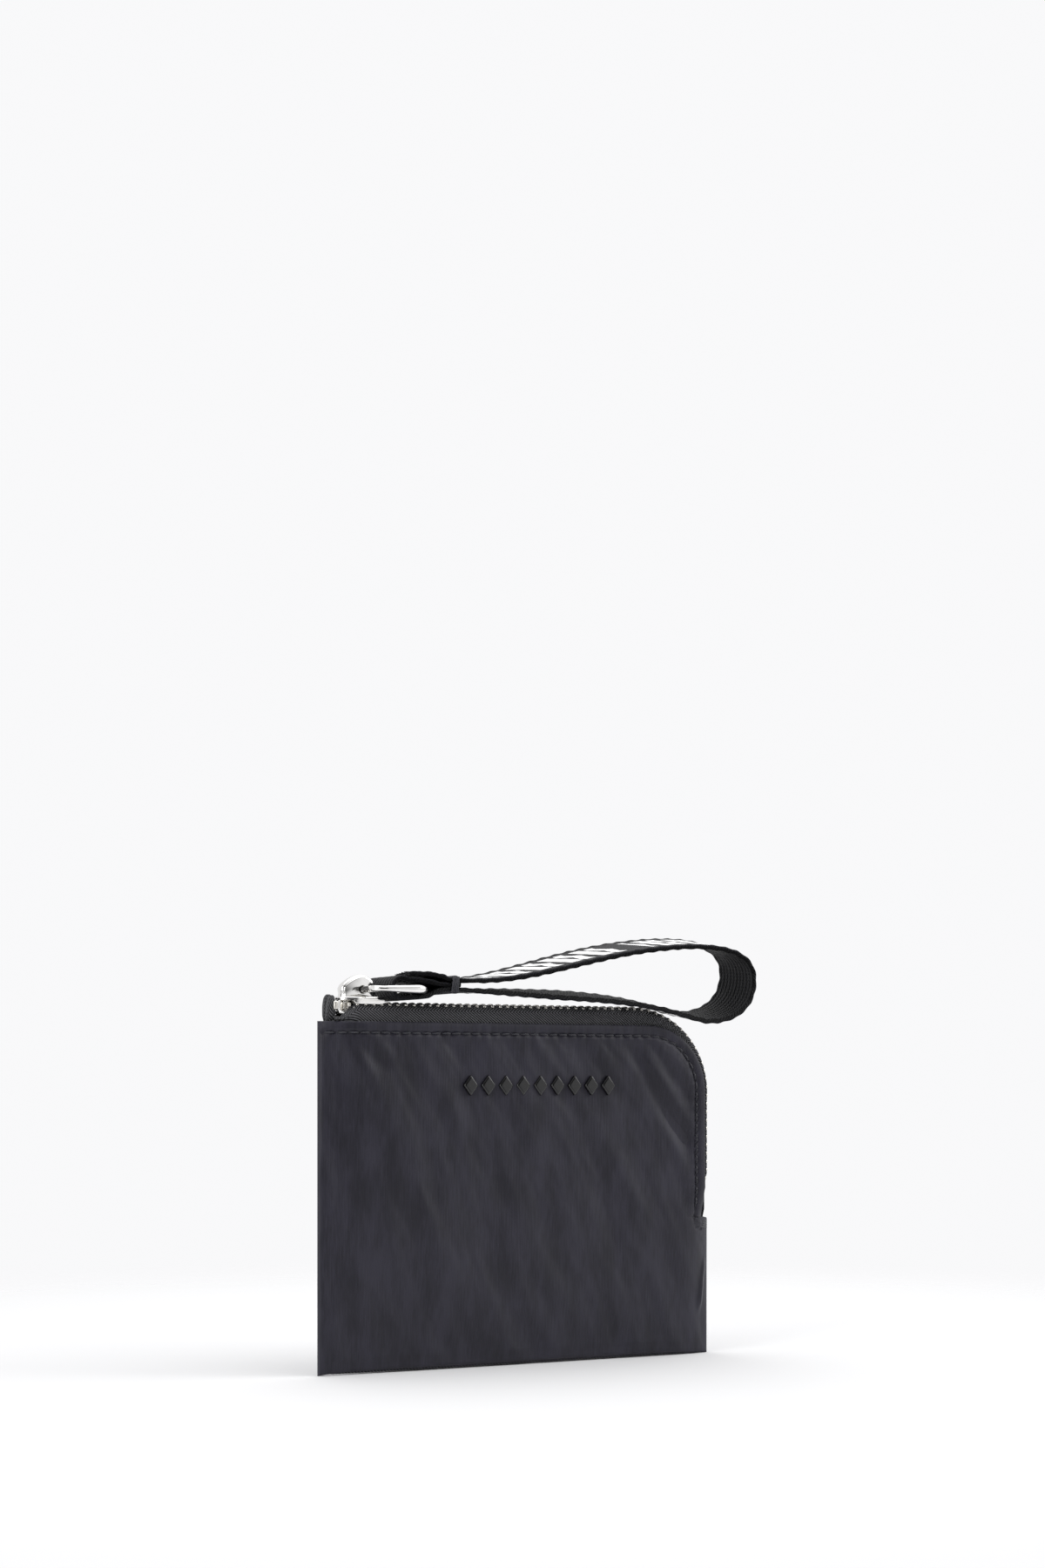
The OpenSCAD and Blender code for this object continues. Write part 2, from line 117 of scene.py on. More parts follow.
class PouchStitching(bpy.types.PropertyGroup):
    """Sizes of the stitch lines."""

    pitch: length("Stitch pitch", "From one stitch to the next", 3.2)
    inset: length("Inset", "Distance of the stitch line from the hem's edge", 3.2)
    thread: length("Thread", "Radius of the thread", 0.25)
    share: FloatProperty(name="Stitch share", description="Share of the pitch that shows",
                         default=0.74, min=0.3, max=0.95)


class PouchZip(bpy.types.PropertyGroup):
    """Sizes of the zip."""

    corner: length("Corner radius", "Radius of the chain's corner, at its middle", 27)
    pitch: length("Tooth pitch", "Pitch of the teeth on one tape", 2.54)
    tape: length("Tape thickness", "Thickness of the tape", 0.4)
    tape_reach: length("Tape reach", "How far the tape runs in from the chain", 11.5)
    herringbone: length("Herringbone", "Width of one row of the tape's weave", 4.4)


class PouchStrap(bpy.types.PropertyGroup):
    """Sizes of the webbing."""

    width: length("Width", "Width of the webbing", 20)
    thickness: length("Thickness", "Thickness of the webbing", 1.2)
    roll: FloatProperty(name="Roll", description="How far the loop is rolled out of level",
                        default=math.radians(8.5), subtype="ANGLE")
    twill: length("Twill", "Pitch of the diagonal ribs", 1.1)
    lay: length("Edge lay", "Length of one turn of the edge's strands", 9)


class PouchFinish(bpy.types.PropertyGroup):
    """Colours of the finishes."""

    shell: colour("Shell", "Woven nylon of the panels", 0.0195, 0.0184, 0.0275)
    lining: colour("Lining", "Plain woven lining", 0.012, 0.012, 0.014)
    tape: colour("Zip tape", "Herringbone tape", 0.010, 0.010, 0.011)
    webbing: colour("Webbing", "Twill webbing", 0.0026, 0.0026, 0.0036)
    print: colour("Print", "Pattern printed on the webbing", 0.86, 0.86, 0.86)
    thread: colour("Thread", "Sewing thread", 0.0125, 0.0125, 0.017)
    zip_metal: colour("Zip metal", "Nickel teeth and stops", 0.80, 0.775, 0.72)
    hardware: colour("Hardware", "Polished slider and ring", 0.93, 0.92, 0.90)
    emblem: colour("Emblem", "Glossy studs", 0.006, 0.006, 0.007)
    floor: colour("Floor", "Pale floor", 0.70, 0.70, 0.705)


# ------------------------------------------------------------ shader sums

class Value:
    """A socket that sums can be written on. Each sum adds its Math node."""

    def __init__(self, look, socket):
        self.look = look
        self.socket = socket

    def math(self, operation, *others):
        values = {i: v for i, v in enumerate((self,) + others)}
        return self.look.add("ShaderNodeMath", {"operation": operation}, values)

    def back(self, operation, other):
        return self.look.add("ShaderNodeMath", {"operation": operation}, {0: other, 1: self})

    def __add__(self, other):
        return self.math("ADD", other)

    __radd__ = __add__

    def __sub__(self, other):
        return self.math("SUBTRACT", other)

    def __rsub__(self, other):
        return self.back("SUBTRACT", other)

    def __mul__(self, other):
        return self.math("MULTIPLY", other)

    __rmul__ = __mul__

    def __truediv__(self, other):
        return self.math("DIVIDE", other)

    def sine(self):
        return self.math("SINE")

    def size(self):
        return self.math("ABSOLUTE")

    def part(self):
        return self.math("FRACT")

    def step(self, low, high):
        """0 below low, 1 above high, and smooth in between."""
        return self.look.add("ShaderNodeMapRange", {"interpolation_type": "SMOOTHSTEP"},
                             {"Value": self, "From Min": low, "From Max": high})


class Look:
    """A material, or the world, being made."""

    def __init__(self, owner, shader="Principled BSDF"):
        if isinstance(owner, str):
            owner = bpy.data.materials.new(owner)
        owner.use_nodes = True
        self.material = owner
        self.nodes = owner.node_tree.nodes
        self.links = owner.node_tree.links
        self.shader = self.nodes[shader]

    def put(self, socket, value):
        if isinstance(value, Value):
            self.links.new(value.socket, socket)
        else:
            socket.default_value = value

    def add(self, kind, settings=None, sockets=None, out=0):
        """Adds a node: its settings first, then its sockets. Gives its output."""
        node = self.nodes.new(kind)
        for name, value in (settings or {}).items():
            setattr(node, name, value)
        for name, value in (sockets or {}).items():
            self.put(node.inputs[name], value)
        return Value(self, node.outputs[out])

    def set(self, **sockets):
        """Sets or links the surface's own sockets, with _ for a space."""
        for name, value in sockets.items():
            self.put(self.shader.inputs[name.replace("_", " ")], value)

    def uv(self):
        """The piece's own flat coordinates, in millimetres."""
        coordinates = self.add("ShaderNodeTexCoord", out="UV")
        split = self.add("ShaderNodeSeparateXYZ", None, {"Vector": coordinates})
        across = Value(self, split.socket.node.outputs["Y"])
        return coordinates, split * UV_SPAN, across * UV_SPAN

    def place(self):
        return self.add("ShaderNodeTexCoord", out="Object")

    def noise(self, where, scale, detail=3.0, roughness=0.5, stretch=(1, 1, 1)):
        if stretch != (1, 1, 1):
            where = self.add("ShaderNodeMapping", None, {"Vector": where, "Scale": stretch})
        return self.add("ShaderNodeTexNoise", None,
                        {"Vector": where, "Scale": scale, "Detail": detail,
                         "Roughness": roughness})

    def blend(self, share, first, second):
        """A colour between two, by share."""
        node = self.nodes.new("ShaderNodeMix")
        node.data_type = "RGBA"
        sockets = {s.identifier: s for s in node.inputs}
        self.put(sockets["Factor_Float"], share)
        self.put(sockets["A_Color"], first)
        self.put(sockets["B_Color"], second)
        return Value(self, next(s for s in node.outputs if s.identifier == "Result_Color"))

    def bump(self, height, distance, strength=1.0):
        return self.add("ShaderNodeBump", None,
                        {"Height": height, "Distance": distance, "Strength": strength})


UV_SPAN = 200.0         # millimetres in one turn of the flat coordinates
FLAT_SHIFT = 100        # millimetres added across, so that they stay above zero


def shade(rgb, gain=1.0):
    return (rgb[0] * gain, rgb[1] * gain, rgb[2] * gain, 1.0)


LOOKS = {}


def look_named(name):
    """Each finish is made once, when a piece first asks for it."""
    if name not in LOOKS:
        LOOKS[name] = FINISHES[name](bpy.context.scene.pouch_finish)
    return LOOKS[name]


def shell_finish(finish):
    """Fine nylon satin: upright ribs, a soft sheen and cloudy streaks."""
    look = Look("shell_nylon")
    flat, x, z = look.uv()
    ribs = (x * (math.tau / 0.42)).sine()
    picks = (z * (math.tau / 0.30)).sine()
    weave = ribs * 0.7 + picks * 0.3
    streaks = look.noise(flat, 34, 4, 0.55, (1.0, 0.30, 1.0))
    slubs = look.noise(flat, 420, 2, 0.5, (1.0, 0.07, 1.0))
    cloud = look.noise(flat, 9, 3, 0.5)
    tone = streaks * 0.5 + slubs * 0.25 + cloud * 0.25 + weave * 0.02
    look.set(Base_Color=look.blend(tone.step(0.36, 0.64), shade(finish.shell, 0.66),
                                   shade(finish.shell, 1.36)),
             Roughness=0.40 + streaks * 0.12 + slubs * 0.06,
             Normal=look.bump(weave * 0.5 + slubs * 1.6, 0.00003, 0.8),
             Sheen_Weight=0.08, Sheen_Roughness=0.4, Sheen_Tint=(0.9, 0.92, 1.0, 1.0),
             Specular_IOR_Level=0.27)
    return look.material


def lining_finish(finish):
    """Plain woven polyester."""
    look = Look("lining_taffeta")
    flat, x, z = look.uv()
    weave = (x * (math.tau / 0.36)).sine() * (z * (math.tau / 0.36)).sine()
    cloud = look.noise(flat, 30, 3, 0.5)
    look.set(Base_Color=look.blend(cloud.step(0.3, 0.7), shade(finish.lining, 0.8),
                                   shade(finish.lining, 1.3)),
             Roughness=0.5 + cloud * 0.15, Normal=look.bump(weave, 0.00003),
             Sheen_Weight=0.15, Sheen_Roughness=0.4)
    return look.material


def tape_finish(finish):
    """Herringbone tape, its ribs turning from row to row."""
    look = Look("zip_tape_herringbone")
    flat, along, across = look.uv()
    row = bpy.context.scene.pouch_zip.herringbone / MM
    zigzag = ((across + 1.1) / (2 * row)).part() * 2 - 1
    slant = along - zigzag.size() * (1.25 * row)
    ribs = (slant * (math.tau / 1.0)).sine() * 0.5 + 0.5
    yarn = (across * (math.tau / 0.5)).sine() * 0.5 + 0.5
    fuzz = look.noise(flat, 600, 2, 0.6)
    weave = ribs * 0.75 + yarn * 0.15 + fuzz * 0.2
    # The herringbone pattern is real; the light rib lines in this colour are painted highlights and
    # the dark grooves painted shade.
    look.set(Base_Color=look.blend(weave.step(0.38, 0.80), shade(finish.tape, 0.2),
                                   shade(finish.tape, 13.0)),
             Roughness=0.55 + fuzz * 0.2, Normal=look.bump(weave, 0.0004),
             Sheen_Weight=0.08, Sheen_Roughness=0.5, Specular_IOR_Level=0.3)
    return look.material


def webbing_weave(look):
    """The twill's height, shared by the plain and the printed face."""
    flat, along, across = look.uv()
    pitch = bpy.context.scene.pouch_strap.twill / MM
    slant = along + across * 1.15
    ribs = (slant * (math.tau / pitch)).sine() * 0.5 + 0.5
    yarn = (across * (math.tau / 1.8)).sine() * 0.5 + 0.5
    fuzz = look.noise(flat, 500, 2, 0.6)
    weave = ribs * 0.35 + yarn * 0.6 + fuzz * 0.2
    return along, across, weave, fuzz


def webbing_finish(finish):
    """Twill webbing with a low sheen."""
    look = Look("webbing_twill")
    _, _, weave, fuzz = webbing_weave(look)
    # Colour follows the twill's height: painted highlight on the crests, painted shade in the
    # grooves.
    look.set(Base_Color=look.blend(weave.step(0.25, 0.88), shade(finish.webbing, 0.25),
                                   shade(finish.webbing, 2.8)),
             Roughness=0.42 + fuzz * 0.2, Normal=look.bump(weave, 0.00055),
             Sheen_Weight=0.02, Sheen_Roughness=0.45, Specular_IOR_Level=0.12)
    return look.material


def print_finish(finish):
    """The webbing's outer face, with slanted bars and chevrons printed on it."""
    look = Look("webbing_printed")
    along, across, weave, fuzz = webbing_weave(look)
    lean = along - across * 0.35
    cell = lean / 11.0
    within = cell.part()
    bar = within.step(0.04, 0.07) * (1 - within.step(0.40, 0.43))
    tooth = (across / 9.0).part() * 2 - 1
    chevron_place = (within - 0.46 - tooth.size() * 0.16)
    chevron = chevron_place.step(0.0, 0.03) * (1 - chevron_place.step(0.27, 0.30))
    edge = across.step(1.7, 2.0) * (1 - across.step(15.5, 15.8))
    gap = ((cell / 5.0).part()).step(0.12, 0.14)
    ink = bar.math("MAXIMUM", chevron) * edge * gap
    worn = ink * (fuzz.step(0.22, 0.4) * 0.25 + 0.75)
    # The cloth between the print: painted highlight on the twill's crests and painted shade in its
    # grooves. The print itself is real ink.
    cloth = look.blend(weave.step(0.2, 0.95), shade(finish.webbing, 0.55),
                       shade(finish.webbing, 2.6))
    look.set(Base_Color=look.blend(worn, cloth, shade(finish.print)),
             Roughness=0.5 + fuzz * 0.15, Normal=look.bump(weave, 0.00015),
             Sheen_Weight=0.04, Sheen_Roughness=0.45, Specular_IOR_Level=0.17)
    return look.material


def thread_finish(finish):
    """Twisted thread."""
    look = Look("thread_twisted")
    _, along, around = look.uv()
    twist = ((along * 1.0 + around * 1.2) * (math.tau / 0.55)).sine() * 0.5 + 0.5
    # Painted highlight along the twist's crests, painted shade between the strands.
    look.set(Base_Color=look.blend(twist, shade(finish.thread, 0.6), shade(finish.thread, 3.0)),
             Roughness=0.42 + twist * 0.12, Normal=look.bump(twist, 0.00006),
             Sheen_Weight=0.1, Sheen_Roughness=0.35)
    return look.material


def metal_finish(name, rgb, roughness, wear):
    """Plated metal, with fine scuffs and a little dullness in its cloud."""
    look = Look(name)
    where = look.place()
    cloud = look.noise(where, 160, 3, 0.5)
    scuffs = look.noise(where, 900, 3, 0.6, (1.0, 0.2, 1.0))
    look.set(Base_Color=look.blend(cloud.step(0.3, 0.7), shade(rgb, 0.94), shade(rgb, 1.04)),
             Metallic=1.0,
             Roughness=roughness + scuffs.step(0.45, 0.8) * wear + cloud * wear * 0.5,
             Normal=look.bump(scuffs, 0.000006, 0.5))
    return look.material


def zip_metal_finish(finish):
    return metal_finish("zip_nickel", finish.zip_metal, 0.32, 0.12)


def hardware_finish(finish):
    return metal_finish("polished_nickel", finish.hardware, 0.07, 0.07)


def spring_finish(finish):
    return metal_finish("spring_steel", shade(finish.zip_metal, 0.8)[:3], 0.3, 0.1)


def emblem_finish(finish):
    """Moulded gloss, with a faint orange peel."""
    look = Look("emblem_gloss")
    where = look.place()
    peel = look.noise(where, 700, 2, 0.5)
    cloud = look.noise(where, 90, 2, 0.5)
    look.set(Base_Color=look.blend(cloud, shade(finish.emblem, 0.25), shade(finish.emblem, 0.5)),
             Roughness=0.12 + peel * 0.08, Normal=look.bump(peel, 0.000012, 0.4),
             Specular_IOR_Level=0.35, Coat_Weight=0.5, Coat_Roughness=0.06)
    return look.material


def floor_finish(finish):
    """Pale card that melts into the backdrop a little way off."""
    look = Look("floor_pale")
    where = look.place()
    cloud = look.noise(where, 3, 3, 0.5)
    far = look.add("ShaderNodeVectorMath", {"operation": "LENGTH"}, {0: where}, "Value")
    look.set(Base_Color=look.blend(cloud, shade(finish.floor, 0.995), shade(finish.floor)),
             Roughness=0.9, Specular_IOR_Level=0.0, Alpha=1 - far.step(0.16, 0.42))
    return look.material


FINISHES = {
    "shell": shell_finish, "lining": lining_finish, "tape": tape_finish,
    "webbing": webbing_finish, "print": print_finish, "thread": thread_finish,
    "zip_metal": zip_metal_finish, "hardware": hardware_finish, "spring": spring_finish,
    "emblem": emblem_finish, "floor": floor_finish,
}


# ---------------------------------------------------------------- meshes

class Skin:
    """The points and faces of one piece, gathered ring by ring."""

    def __init__(self):
        self.points = []
        self.faces = []
        self.flats = []
        self.kinds = []

    def loft(self, rings, us, vs, kinds=None, ends="fan"):
        """Joins closed rings in turn. us runs along them, vs round them, and
        vs has one value more than a ring has points. ends is "fan" for a cap
        with a middle point, or "strip" for a ring that goes out and back."""
        n = len(rings[0])
        start = len(self.points)
        for ring in rings:
            self.points.extend(ring)
        for i in range(len(rings) - 1):
            for j in range(n):
                k = (j + 1) % n
                a, b = start + i * n, start + (i + 1) * n
                self.faces.append((a + j, b + j, b + k, a + k))
                self.flats.append(((us[i], vs[j]), (us[i + 1], vs[j]),
                                   (us[i + 1], vs[j + 1]), (us[i], vs[j + 1])))
                self.kinds.append(kinds[j] if kinds else 0)
        last = start + (len(rings) - 1) * n
        for base, u, flip in ((start, us[0], False), (last, us[-1], True)):
            if ends == "strip":
                self.strip_cap(base, n, u, vs, flip)
            elif ends == "fan":
                self.fan_cap(base, n, u, vs, flip)
        return self

    def face(self, corners, flats, flip):
        if flip:
            corners, flats = corners[::-1], flats[::-1]
        self.faces.append(tuple(corners))
        self.flats.append(tuple(flats))
        self.kinds.append(0)

    def strip_cap(self, base, n, u, vs, flip):
        for j in range(n // 2 - 1):
            corners = (base + j, base + j + 1, base + n - 2 - j, base + n - 1 - j)
            flats = ((u, vs[j]), (u, vs[j + 1]), (u, vs[j + 1]), (u, vs[j]))
            self.face(corners, flats, flip)

    def fan_cap(self, base, n, u, vs, flip):
        ring = [Vector(p) for p in self.points[base:base + n]]
        middle = sum(ring, Vector()) / n
        self.points.append(tuple(middle))
        m = len(self.points) - 1
        for j in range(n):
            k = (j + 1) % n
            self.face((base + j, base + k, m), ((u, vs[j]), (u, vs[j + 1]), (u, vs[j])), flip)

    def tube(self, path, radii, sides=12, up=Vector((0, 1, 0)), domes=True):
        """A round wire or thread along a path, with rounded ends."""
        path = [Vector(p) for p in path]
        if domes:
            path, radii = domed(path, list(radii))
        frames = frames_along(path, up)
        rings, us, run = [], [], 0.0
        for i, (point, side, rise) in enumerate(frames):
            if i:
                run += (path[i] - path[i - 1]).length
            us.append(run)
            rings.append([tuple(point + radii[i] * (math.cos(math.tau * j / sides) * side
                                                   + math.sin(math.tau * j / sides) * rise))
                          for j in range(sides)])
        girth = math.tau * max(radii)
        self.loft(rings, us, [girth * j / sides for j in range(sides + 1)])
        return self

    def make(self, name, body, looks, nodes=(), slot=None, sharp=40, mirror=False, blend=None):
        """Makes the object, hangs it on its body and says what it stands for."""
        points = [(p[0] * MM, (-p[1] if mirror else p[1]) * MM, p[2] * MM) for p in self.points]
        mesh = bpy.data.meshes.new(name)
        faces = [f[::-1] for f in self.faces] if mirror else self.faces
        flats = [f[::-1] for f in self.flats] if mirror else self.flats
        mesh.from_pydata(points, [], faces)
        layer = mesh.uv_layers.new(name="flat")
        corners = [c for face in flats for uv in face for c in (uv[0] / UV_SPAN, uv[1] / UV_SPAN)]
        layer.data.foreach_set("uv", corners)
        mesh.polygons.foreach_set("material_index", self.kinds)
        mesh.polygons.foreach_set("use_smooth", [True] * len(mesh.polygons))
        face_outwards(mesh)
        if sharp:
            mesh.set_sharp_from_angle(angle=math.radians(sharp))
        obj = bpy.data.objects.new(name, mesh)
        bpy.context.scene.collection.objects.link(obj)
        for look in looks:
            mesh.materials.append(look_named(look))
        if mesh.validate():
            raise RuntimeError(f"{name}: the mesh had faults")
        if blend:
            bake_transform(obj)
        elif body:
            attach(obj, body)
        if nodes:
            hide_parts(*nodes)
        return obj


def face_outwards(mesh):
    """Turns the faces of each closed shell to the outside."""
    shape = bmesh.new()
    shape.from_mesh(mesh)
    bmesh.ops.recalc_face_normals(shape, faces=shape.faces)
    shape.to_mesh(mesh)
    shape.free()


def domed(path, radii):
    """Adds the points of a half round at both ends of a path."""
    def cap(end, inner, r):
        out = (end - inner).normalized()
        turns = (0.35, 0.65, 0.9, 0.995)
        return [(end + out * r * s, r * math.sqrt(1 - s * s)) for s in turns]
    head = cap(path[0], path[1], radii[0])[::-1]
    tail = cap(path[-1], path[-2], radii[-1])
    return ([p for p, _ in head] + path + [p for p, _ in tail],
            [r for _, r in head] + radii + [r for _, r in tail])


def frames_along(path, up):
    """At each point of a path: the point, and two directions square to it."""
    out = []
    n = len(path)
    for i, point in enumerate(path):
        run = (path[min(i + 1, n - 1)] - path[max(i - 1, 0)]).normalized()
        side = up - run * up.dot(run)
        side.normalize()
        out.append((point, side, run.cross(side)))
    return out


def resample(path, gap):
    """Points at even distances along a path."""
    path = [Vector(p) for p in path]
    lengths = [0.0]
    for a, b in zip(path, path[1:]):
        lengths.append(lengths[-1] + (b - a).length)
    count = max(2, round(lengths[-1] / gap))
    out, k = [], 0
    for i in range(count + 1):
        s = lengths[-1] * i / count
        while k < len(path) - 2 and lengths[k + 1] < s:
            k += 1
        span = lengths[k + 1] - lengths[k]
        out.append(path[k].lerp(path[k + 1], (s - lengths[k]) / span if span else 0))
    return out


def relax(path, times):
    """Rounds a path's corners, with its ends held."""
    for _ in range(times):
        inner = [(a + 2 * b + c) / 4 for a, b, c in zip(path, path[1:], path[2:])]
        path = [path[0]] + inner + [path[-1]]
    return path


def bezier(curve, t):
    u = 1 - t
    a, b, c, d = curve
    return Vector([u ** 3 * a[i] + 3 * u * u * t * b[i] + 3 * u * t * t * c[i] + t ** 3 * d[i]
                   for i in (0, 1)])


def clamp(value, low=0.0, high=1.0):
    return min(max(value, low), high)


def rise(t):
    u = clamp(t)
    return u * (2 - u)


def bell(x, width):
    return math.exp(-(x / width) ** 2)


# ---------------------------------------------------------- the cloth's form

class Cloth:
    """The pouch's swell, its hem and its folds, in millimetres."""

    RAMP_LOW, RAMP_HIGH, RAMP_RIGHT, RAMP_UP = 45, 14, 12, 55
    BASE_SHARE = 0.33
    STEP = 0.8
    SEAM_ROLL = 0.9         # radius of the turned edge at the seams
    HEM_ROLL = 0.5          # and at the hem

    def __init__(self, scene):
        cloth, sewing = scene.pouch_cloth, scene.pouch_stitching
        self.shell = cloth.shell / MM
        self.hem_r = cloth.hem_radius / MM
        self.hem_x = SIDE_X - cloth.hem_inset / MM
        self.hem_cx = self.hem_x - self.hem_r
        self.hem_cz = PANEL_H - self.hem_r
        self.notch = cloth.notch / MM
        self.seam = self.shell + 0.02
        self.inset = sewing.inset / MM
        self.pitch = sewing.pitch / MM
        self.fold = cloth.fold_height
        self.seed = cloth.seed
        self.sew_r = self.hem_r - self.inset
        self.sew_left = -SIDE_X + 1.5
        self.sew_top = self.hem_cx - self.sew_left
        self.sew_arc = self.sew_r * math.pi / 2
        self.sew_side = self.hem_cz - self.notch - 1

    def swell(self, x, z):
        left = self.RAMP_LOW + (self.RAMP_HIGH - self.RAMP_LOW) * z / PANEL_H
        gap = math.hypot(SIDE_X - x, max(0, z - self.notch))
        return self.seam + (HALF_D - self.seam) * rise((x + SIDE_X) / left) \
            * rise(gap / self.RAMP_RIGHT) \
            * (self.BASE_SHARE + (1 - self.BASE_SHARE) * rise(z / self.RAMP_UP))

    def row_end(self, z):
        if z <= self.notch:
            return SIDE_X
        if z <= self.notch + self.STEP:
            return SIDE_X + (self.hem_x - SIDE_X) * (z - self.notch) / self.STEP
        if z <= self.hem_cz:
            return self.hem_x
        return self.hem_cx + math.sqrt(max(0, self.hem_r ** 2 - (z - self.hem_cz) ** 2))

    def hem_gap(self, x, z):
        """Distance in from the hemmed edge."""
        if x > self.hem_cx and z > self.hem_cz:
            return self.hem_r - math.hypot(x - self.hem_cx, z - self.hem_cz)
        side = self.hem_x - x if z > self.notch else math.hypot(self.hem_x - x, self.notch - z)
        if z < self.notch and x > self.hem_x:
            side = 4 + self.notch - z
        return min(PANEL_H - z, side)

    def hem_run(self, x, z):
        """Distance along the stitch line from its first stitch."""
        if z > self.hem_cz and x > self.hem_cx:
            turn = math.atan2(x - self.hem_cx, z - self.hem_cz)
            return self.sew_top + self.sew_r * turn
        if PANEL_H - z < self.hem_x - x:
            return x - self.sew_left
        return self.sew_top + self.sew_arc + self.hem_cz - z

    def sew_at(self, s):
        """The point of the stitch line at distance s."""
        if s <= self.sew_top:
            return self.sew_left + s, PANEL_H - self.inset
        if s <= self.sew_top + self.sew_arc:
            turn = (s - self.sew_top) / self.sew_r
            return (self.hem_cx + self.sew_r * math.sin(turn),
                    self.hem_cz + self.sew_r * math.cos(turn))
        return self.hem_x - self.inset, self.hem_cz - (s - self.sew_top - self.sew_arc)

    def hem_relief(self, x, z):
        """The puffed hem, the sunk stitch line and the puckers round it."""
        d = self.hem_gap(x, z)
        if d > 16:
            return 0.0
        run = self.hem_run(x, z)
        along = math.cos(math.tau * (run / self.pitch - 0.87))
        wander = noise.noise(Vector((run / 9, 3.1, self.seed)))
        puff = 0.34 * math.sin(math.pi * clamp(d / self.inset)) ** 0.8
        groove = -(0.40 + 0.16 * along) * bell(d - self.inset, 0.5)
        beyond = 0.10 * bell(d - self.inset - 1.3, 1.0)
        pucker = -0.09 * along * bell(d - self.inset, 1.9) * (1 + wander)
        rays = 0.10 * noise.noise(Vector((run / 2.1, d / 9, self.seed + 4))) * clamp(d / 2) \
            * (1 - clamp((d - 5) / 9))
        return puff + groove + beyond + pucker + rays

    def streaks(self, x, z, seed):
        """Soft folds that lean from upper left to lower right."""
        lean = math.radians(66 - 18 * clamp((x + SIDE_X) / (2 * SIDE_X)) * clamp(z / PANEL_H))
        bend = 4 * noise.noise(Vector((x / 45, z / 45, seed)))
        a = x * math.sin(lean) + z * math.cos(lean) + bend
        b = x * math.cos(lean) - z * math.sin(lean)
        broad = noise.noise(Vector((a / 15, b / 46, seed + 1)))
        middle = noise.noise(Vector((a / 6.5, b / 25, seed + 2)))
        fine = noise.noise(Vector((a / 2.8, b / 12, seed + 3)))
        crease = (1 - abs(noise.noise(Vector((a / 9, b / 34, seed + 9))))) ** 9
        patchy = 0.5 + 0.5 * clamp(0.5 + 1.3 * noise.noise(Vector((x / 30, z / 30, seed + 5))))
        return (0.85 * broad + 0.72 * middle * patchy + 0.20 * fine * patchy
                + 0.15 * crease * patchy)

    def creases(self, x, z, folds):
        """Folds set by hand: each is a line, its width and its height."""
        total = 0.0
        for line, width, height in folds:
            total += height * line_bell(x, z, line, width)
        return total

    def roll(self, depth, seam_gap, hem_gap):
        """Turns the cloth's edge in at the seams and over at the hem."""
        for gap, radius, end in ((seam_gap, self.SEAM_ROLL, 0.05),
                                 (hem_gap, self.HEM_ROLL, depth - self.shell * 0.48)):
            t = clamp(gap / radius)
            depth = end + (depth - end) * math.sqrt(1 - (1 - t) ** 2)
        return depth


def line_bell(x, z, line, width):
    """How near a point is to a line of points, from 0 to 1, fading at its ends."""
    best = 0.0
    total = sum(math.dist(a, b) for a, b in zip(line, line[1:]))
    done = 0.0
    for a, b in zip(line, line[1:]):
        dx, dz = b[0] - a[0], b[1] - a[1]
        span = math.hypot(dx, dz)
        t = clamp(((x - a[0]) * dx + (z - a[1]) * dz) / (span * span))
        gap = math.hypot(x - a[0] - t * dx, z - a[1] - t * dz)
        at = (done + t * span) / total
        best = max(best, bell(gap, width) * min(1.0, 5 * at + 0.15, 5 * (1 - at) + 0.15))
        done += span
    return best


FRONT_FOLDS = (
    (((33, 96), (41, 83), (50, 71), (60, 60)), 2.6, -0.62),
    (((39, 95), (46, 84), (54, 74), (61, 66)), 3.4, 0.55),
    (((-60, 99), (-52, 92), (-45, 86)), 2.4, -0.45),
    (((-52, 98), (-47, 93), (-40, 88)), 2.4, 0.25),
    (((63.0, 30), (61.6, 23), (60.4, 13)), 0.7, 0.75),
    (((20, 55), (27, 44), (31, 33)), 3.2, -0.42),
    (((26, 60), (34, 47), (38, 36)), 3.2, 0.28),
    (((-24, 70), (-14, 52), (-8, 38)), 4.0, -0.32),
    (((-58, 30), (-52, 17), (-47, 6)), 3.2, 0.30),
    (((-64, 4.6), (0, 4.2), (64, 4.6)), 1.2, 0.12),
    (((-60.2, 4), (-60.0, 50), (-60.4, 92)), 0.9, 0.13),
)
BACK_FOLDS = (
    (((36, 97), (30, 84), (26, 70)), 3.0, -0.45),
    (((-56, 98), (-48, 88), (-36, 80)), 3.0, 0.40),
    (((10, 60), (22, 44), (27, 28)), 3.4, -0.35),
    (((-64, 4.6), (0, 4.2), (64, 4.6)), 1.2, 0.12),
    (((-60.2, 4), (-60.0, 50), (-60.4, 92)), 0.9, 0.13),
)
CUT_SHARE = 0.97        # share of its flat rectangle that a sheet's cut covers
EDGE_STEPS = (0, 0.06, 0.16, 0.3, 0.48, 0.7, 1.0, 1.4, 1.9, 2.4, 2.8, 3.2, 3.6, 4.1, 4.8, 5.6)


def panel_rows(cloth, gap):
    """Heights of the cloth's rows, close together at the seam and the hem."""
    rows = list(EDGE_STEPS)
    count = round((cloth.notch - rows[-1]) / gap)
    rows += [rows[-1] + (cloth.notch - rows[-1]) * k / count for k in range(1, count + 1)]
    start = cloth.notch + cloth.STEP
    rows += [cloth.notch + cloth.STEP * k / 4 for k in (1, 2, 3)]
    count = round((cloth.hem_cz - start) / gap)
    rows += [start + (cloth.hem_cz - start) * k / count for k in range(count + 1)]
    count = round(cloth.hem_r * math.pi / 2 / gap)
    rows += [cloth.hem_cz + cloth.hem_r * math.sin(math.pi / 2 * k / count)
             for k in range(1, count + 1)]
    return rows


